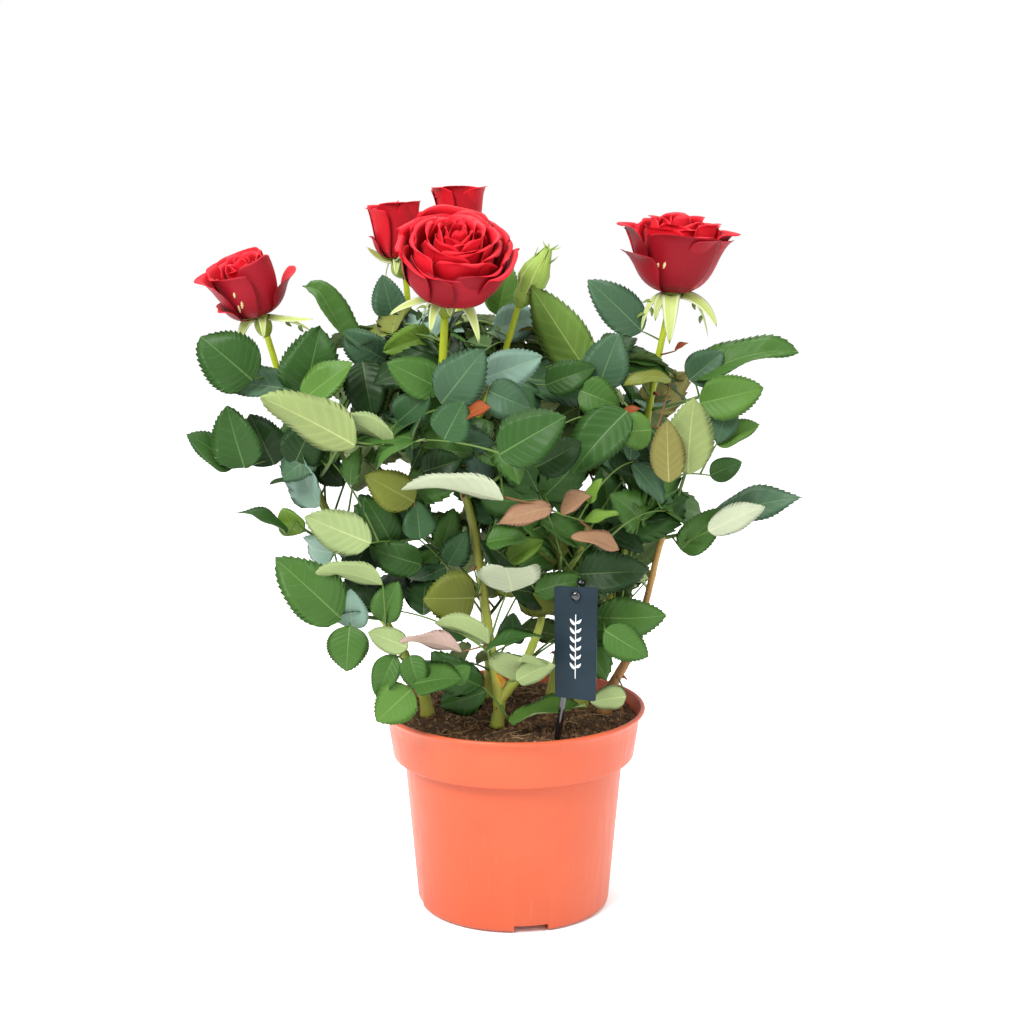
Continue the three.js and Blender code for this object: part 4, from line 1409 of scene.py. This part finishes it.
def add_ribbon(sheaf, path, widths, face, cup, upper, lower, columns=7, edge=None):
    """A narrow closed blade along a path, such as a sepal, with its edges in a paler tint."""
    path = np.asarray(path, float)
    heading = headings(path)
    faces = []
    direction = np.asarray(face, float)
    for h in heading:
        direction = square_to(direction, h)
        faces.append(direction)
    faces = np.array(faces)
    side = np.cross(heading, faces)
    a = np.linspace(-1, 1, columns)
    reach = np.asarray(widths)[:, None] * a[None] / 2
    points = path[:, None] + side[:, None] * reach[..., None]
    points += faces[:, None] * (cup * np.abs(reach))[..., None]
    top = np.full(columns - 1, upper)
    bottom = np.full(columns - 1, lower)
    if edge is not None:
        top[[0, -1]] = edge
        bottom[[0, -1]] = edge
    sheaf.add(*lens(points, 0.5, top[None], bottom[None]))


def add_sepal(sheaf, root, out, length, width, droop, rng, lobed=False):
    """A sepal that leaves the hip outwards and bends down by its droop, from 0, level, to 1, hanging."""
    end = root + (out * (0.95 - 0.5 * droop) - UP * droop * 0.95) * length
    knee = root + (out * (0.55 - 0.15 * droop) - UP * 0.05) * length
    path = bezier(root, knee, end, 14)
    t = np.linspace(0, 1, 14)
    widths = width * (0.8 + 0.7 * t) * (1 - t) ** 0.75 + 0.3
    face = vec(0, -0.8, 0.75) + rng.normal(0, 0.12, 3)
    add_ribbon(sheaf, path, widths, face, 0.22, SEPAL_PALE, SEPAL, edge=SEPAL_EDGE)
    if lobed:
        for at, hand in ((5, 1), (7, -1), (9, 1)):
            heading = unit(path[at + 1] - path[at])
            side = np.cross(heading, square_to(face, heading)) * hand
            tip = path[at] + side * width * 0.9 + heading * width * 0.9
            lobe = bezier(path[at], path[at] + side * width * 0.6, tip, 7)
            spread = 2.4 * np.sin(np.linspace(0.15, 1, 7) * math.pi * 0.97) + 0.3
            add_ribbon(sheaf, lobe, spread, face, 0.1, SEPAL, SEPAL, columns=5)


# Sepals of each bloom: the way each leaves in degrees, its droop, length and width, and whether it has lobes.
SEPALS = {
    "left": [
        (-22, 0.0, 34, 6, False), (15, 0.3, 34, 4, True), (-140, 0.9, 24, 8, False),
        (100, 0.6, 20, 6, False), (-75, 0.8, 16, 6, False),
    ],
    "back_left": [
        (-165, -0.7, 13, 9, False), (-70, -0.8, 11, 9, False), (-20, 0.8, 16, 5, False),
        (60, 0.7, 18, 5, False), (130, 0.8, 18, 5, False), (-90, 0.7, 14, 6, False),
    ],
    "front": [
        (-168, 0.28, 38, 8, False), (-122, 0.8, 26, 9, False), (-48, 0.72, 38, 9, False),
        (40, 0.7, 26, 7, False), (-85, 0.8, 14, 9, False), (140, 0.6, 26, 7, True),
    ],
    "back": [
        (-150, 0.8, 18, 6, False), (-80, 0.8, 18, 6, False), (-10, 0.7, 18, 6, False),
        (60, 0.8, 18, 6, False), (130, 0.8, 18, 6, False),
    ],
    "right": [
        (-25, 0.55, 36, 11, False), (-98, 0.98, 31, 14, False), (-165, 0.85, 28, 5, True),
        (20, 0.8, 36, 4, True), (140, 0.8, 30, 7, False), (-140, 0.9, 18, 8, False),
    ],
}


# How far a hip swells beyond its stem, where it isn't the usual 3.4.
HIP_SWELL = {"back_left": 5.2}


def build_hips(materials):
    sheaf = Sheaf()
    rng = np.random.default_rng(61)
    for name, bloom in BLOOMS.items():
        hip, foot = vec(*bloom["hip"]), vec(*bloom["foot"])
        path = hip + (foot - hip) * np.linspace(0, 1.12, 16)[:, None]
        t = np.linspace(0, 1, 16)
        rim = min(0.24 * bloom["rim"], 7)
        swell = HIP_SWELL.get(name, 3.4) * np.sin(np.clip(t * 1.15, 0, 1) * math.pi) ** 0.8 * (1 - 0.3 * t)
        add_tube(sheaf, path, 2.3 + swell + (rim - 2.6) * t**3, 20, HIP)
        for turn, droop, length, width, lobed in SEPALS[name]:
            out = bearing(math.radians(turn))
            root = foot + out * rim * 0.75 - vec(0, 0, 1.2)
            add_sepal(sheaf, root, out, length, width, droop, rng, lobed)
    sheaf.make("hips_and_sepals", materials, "hip", [f"{name}_hip" for name in BLOOMS])


BUD = {"foot": (2.9, -5, 388.6), "top": (21.5, -5, 424.5)}
# The bud's radius at shares of its height: a round ovary, a waist, and the wrapped petals.
BUD_OUTLINE = [
    (0, 2.2), (0.05, 3.6), (0.12, 6.0), (0.22, 6.6), (0.3, 6.4), (0.45, 9.2), (0.62, 8.6), (0.8, 5.2),
    (0.93, 2.4), (1, 0.6),
]


def build_bud(materials):
    """A closed bud: a round ovary, and sepals wrapped to a twisted point with leafy tips."""
    foot, top = vec(*BUD["foot"]), vec(*BUD["top"])
    axis = unit(top - foot)
    height = np.linalg.norm(top - foot)
    sheaf = Sheaf()
    t = np.linspace(0, 1, 30)
    outline = np.interp(t, *zip(*BUD_OUTLINE))
    sides = 30
    ridge = 0.07 * np.cos(5 * circle(sides)[None] + 1.2 * t[:, None]) * np.clip((t[:, None] - 0.28) * 3, 0, 1)
    add_tube(sheaf, foot + axis * height * t[:, None], outline[:, None] * (1 + ridge), sides, BUD_GREEN)
    add_bud_sepals(sheaf, foot, axis, height)
    sheaf.make("rose_bud", materials, "hip", ["bud"])


def add_bud_sepals(sheaf, foot, axis, height):
    rng = np.random.default_rng(77)
    right = square_to(vec(1, 0, 0), axis)
    deep = np.cross(axis, right)
    levels = np.linspace(0.2, 1.0, 14)
    reach = np.interp(levels, (0.2, 0.28, 0.45, 0.62, 0.8, 1.0), (6.0, 6.4, 9.4, 8.8, 5.6, 2.2)) + 0.2
    for k in range(5):
        turn = 2 * math.pi * k / 5 + 0.5
        out = right * math.cos(turn) + deep * math.sin(turn)
        path = foot + axis * height * levels[:, None] + out * reach[:, None]
        end = out * rng.uniform(2, 6) + axis * rng.uniform(1, 6)
        path = np.vstack([path, path[-1] + end * 0.5, path[-1] + end])
        widths = np.interp(np.linspace(0, 1, len(path)), (0, 0.25, 0.6, 0.85, 1), (7.5, 9.5, 6.5, 2.8, 0.6))
        edge = SEPAL_PALE if k % 2 else None
        add_ribbon(sheaf, path, widths, out, -0.28, BUD_GREEN, BUD_GREEN, edge=edge)
        if k % 2 == 0:
            root, side = path[10], np.cross(axis, out)
            lobe = bezier(root, root + side * 3 + axis * 2, root + side * 5 + axis * 6, 6)
            narrow = 2.2 * (1 - np.linspace(0, 1, 6)) + 0.3
            add_ribbon(sheaf, lobe, narrow, out, 0.1, SEPAL, SEPAL_PALE, columns=5)


# ---- Label ----

LABEL = {"width": 26.5, "height": 70, "thick": 0.9, "at": (37.6, -72, 191), "yaw": -10, "twist": 14}
LABEL_CORNER = 1.2
LABEL_HOLE = {"radius": 2.4, "z": LABEL["height"] / 2 - 5.5}


def label_turn(height_share):
    """The plate's turn about the vertical at a height from 0, its foot, to 1, its top."""
    return math.radians(LABEL["yaw"] - LABEL["twist"] * (1 - height_share))


def on_label(x, z, out=0.0):
    """A point on the plate's front: x across it and z up it, both from its middle, out from its face."""
    turn = label_turn(z / LABEL["height"] + 0.5)
    depth = -LABEL["thick"] / 2 - out
    across = bearing(turn)
    forward = vec(-math.sin(turn), math.cos(turn), 0)
    return vec(*LABEL["at"]) + across * x + forward * depth + vec(0, 0, z)


def build_label():
    black = plain("pick_black", "0c0e11", 0.18, Specular_IOR_Level=0.6, Coat_Weight=0.5)
    build_plate()
    build_sprig()
    build_stick(black)
    build_button(black)


def build_sprig():
    """A generic pale print: a stem with a pair of leaves at each step."""
    sprig = Sheaf()
    lift = 0.12
    stem = [on_label(0, z, lift) for z in np.linspace(-22, 18, 22)]
    add_tube(sprig, stem, np.full(22, 0.32), 6, 0)
    widths = 1.7 * np.sin(np.linspace(0.12, 1, 8) * math.pi * 0.97) + 0.2
    for z in np.arange(-16, 17, 5.5):
        for hand in (-1, 1):
            base = on_label(0, z + (1.4 if hand > 0 else 0), lift)
            path = bezier(base, on_label(hand * 2.1, z + 1.0, lift), on_label(hand * 3.5, z + 3.8, lift), 8)
            add_ribbon(sprig, path, widths, (0, -1, 0), 0.0, 0, 0, columns=5)
    sprig.make("label_sprig", [plain("label_print", "dfe3e4", 0.5)], "label")


def build_stick(black):
    """The notched stick in the soil, which is a rounded cross in section, with a knob on top."""
    pick = Sheaf()
    foot, top = vec(26.6, -61, GROUND - 1.5), vec(41, -66, 228)
    rings = 46
    section = 1.75 * (1 + 0.16 * np.cos(4 * circle(16)))
    notch = 1 - 0.07 * (np.arange(rings) % 4 == 0)
    path = foot + (top - foot) * np.linspace(0, 1, rings)[:, None]
    add_tube(pick, path, section[None] * notch[:, None], 16, 0)
    knob = top + unit(top - foot) * np.linspace(-2.5, 1.5, 9)[:, None]
    add_tube(pick, knob, 3.0 * np.sqrt(np.clip(1 - np.linspace(-0.98, 0.98, 9) ** 2, 0.03, 1)), 16, 0)
    pick.make("label_stick", [black], "pick", ["label_pick"])


def build_button(black):
    """The peg through the plate's hole, with its head in front."""
    peg = Sheaf()
    front, back = (on_label(0, LABEL_HOLE["z"], out) for out in (2.4, -6.0))
    t = np.linspace(0, 1, 14)
    radii = np.interp(t, (0, 0.08, 0.2, 0.24, 1), (1.6, 3.0, 2.9, 1.9, 1.9))
    add_tube(peg, front + (back - front) * t[:, None], radii, 20, 0)
    peg.make("label_button", [black], "pick", ["label_peg"])


def plate_loops():
    """The plate's rounded outline and its hole, flat and round the plate's middle."""
    w, h = LABEL["width"] / 2 - LABEL_CORNER, LABEL["height"] / 2 - LABEL_CORNER
    outline = []
    for x, z, start in ((w, -h, -90), (w, h, 0), (-w, h, 90), (-w, -h, 180)):
        outline += arc(x, z, LABEL_CORNER, start, start + 90, 5)
    return outline, arc(0, LABEL_HOLE["z"], LABEL_HOLE["radius"], 0, 345, 24)


def build_plate():
    """The label's plate: the outline less its hole, thickened and twisted."""
    shape = bmesh.new()
    loops = [[shape.verts.new((x, 0, z)) for x, z in loop] for loop in plate_loops()]
    edges = [shape.edges.new((loop[i - 1], loop[i])) for loop in loops for i in range(len(loop))]
    bmesh.ops.triangle_fill(shape, use_beauty=True, use_dissolve=False, edges=edges)
    long_edges = [e for e in shape.edges if e.calc_length() > 12]
    bmesh.ops.subdivide_edges(shape, edges=long_edges, cuts=4, use_grid_fill=False)
    bmesh.ops.triangulate(shape, faces=shape.faces)
    sheet = bmesh.ops.extrude_face_region(shape, geom=list(shape.faces))
    for vert in (g for g in sheet["geom"] if isinstance(g, bmesh.types.BMVert)):
        vert.co.y += LABEL["thick"]
    bmesh.ops.recalc_face_normals(shape, faces=shape.faces)
    for vert in shape.verts:
        vert.co = on_label(vert.co.x, vert.co.z, -vert.co.y) * MM
    mesh = bpy.data.meshes.new("label_card")
    shape.to_mesh(mesh)
    shape.free()
    plate = bpy.data.objects.new("label_card", mesh)
    bpy.context.scene.collection.objects.link(plate)
    plate.data.materials.append(label_material())
    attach(plate, "root")
    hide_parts("label_plate")


# ---- Assembly ----

build_camera()
build_lights()
build_floor()
network = Network()
build_pot()
build_soil()
build_canes(network)
build_foliage(network)
petals = petal_materials()
for bloom_name, bloom_sizes in BLOOMS.items():
    build_bloom(bloom_name, bloom_sizes, petals)
greens = green_materials()
build_hips(greens)
build_bud(greens)
build_label()
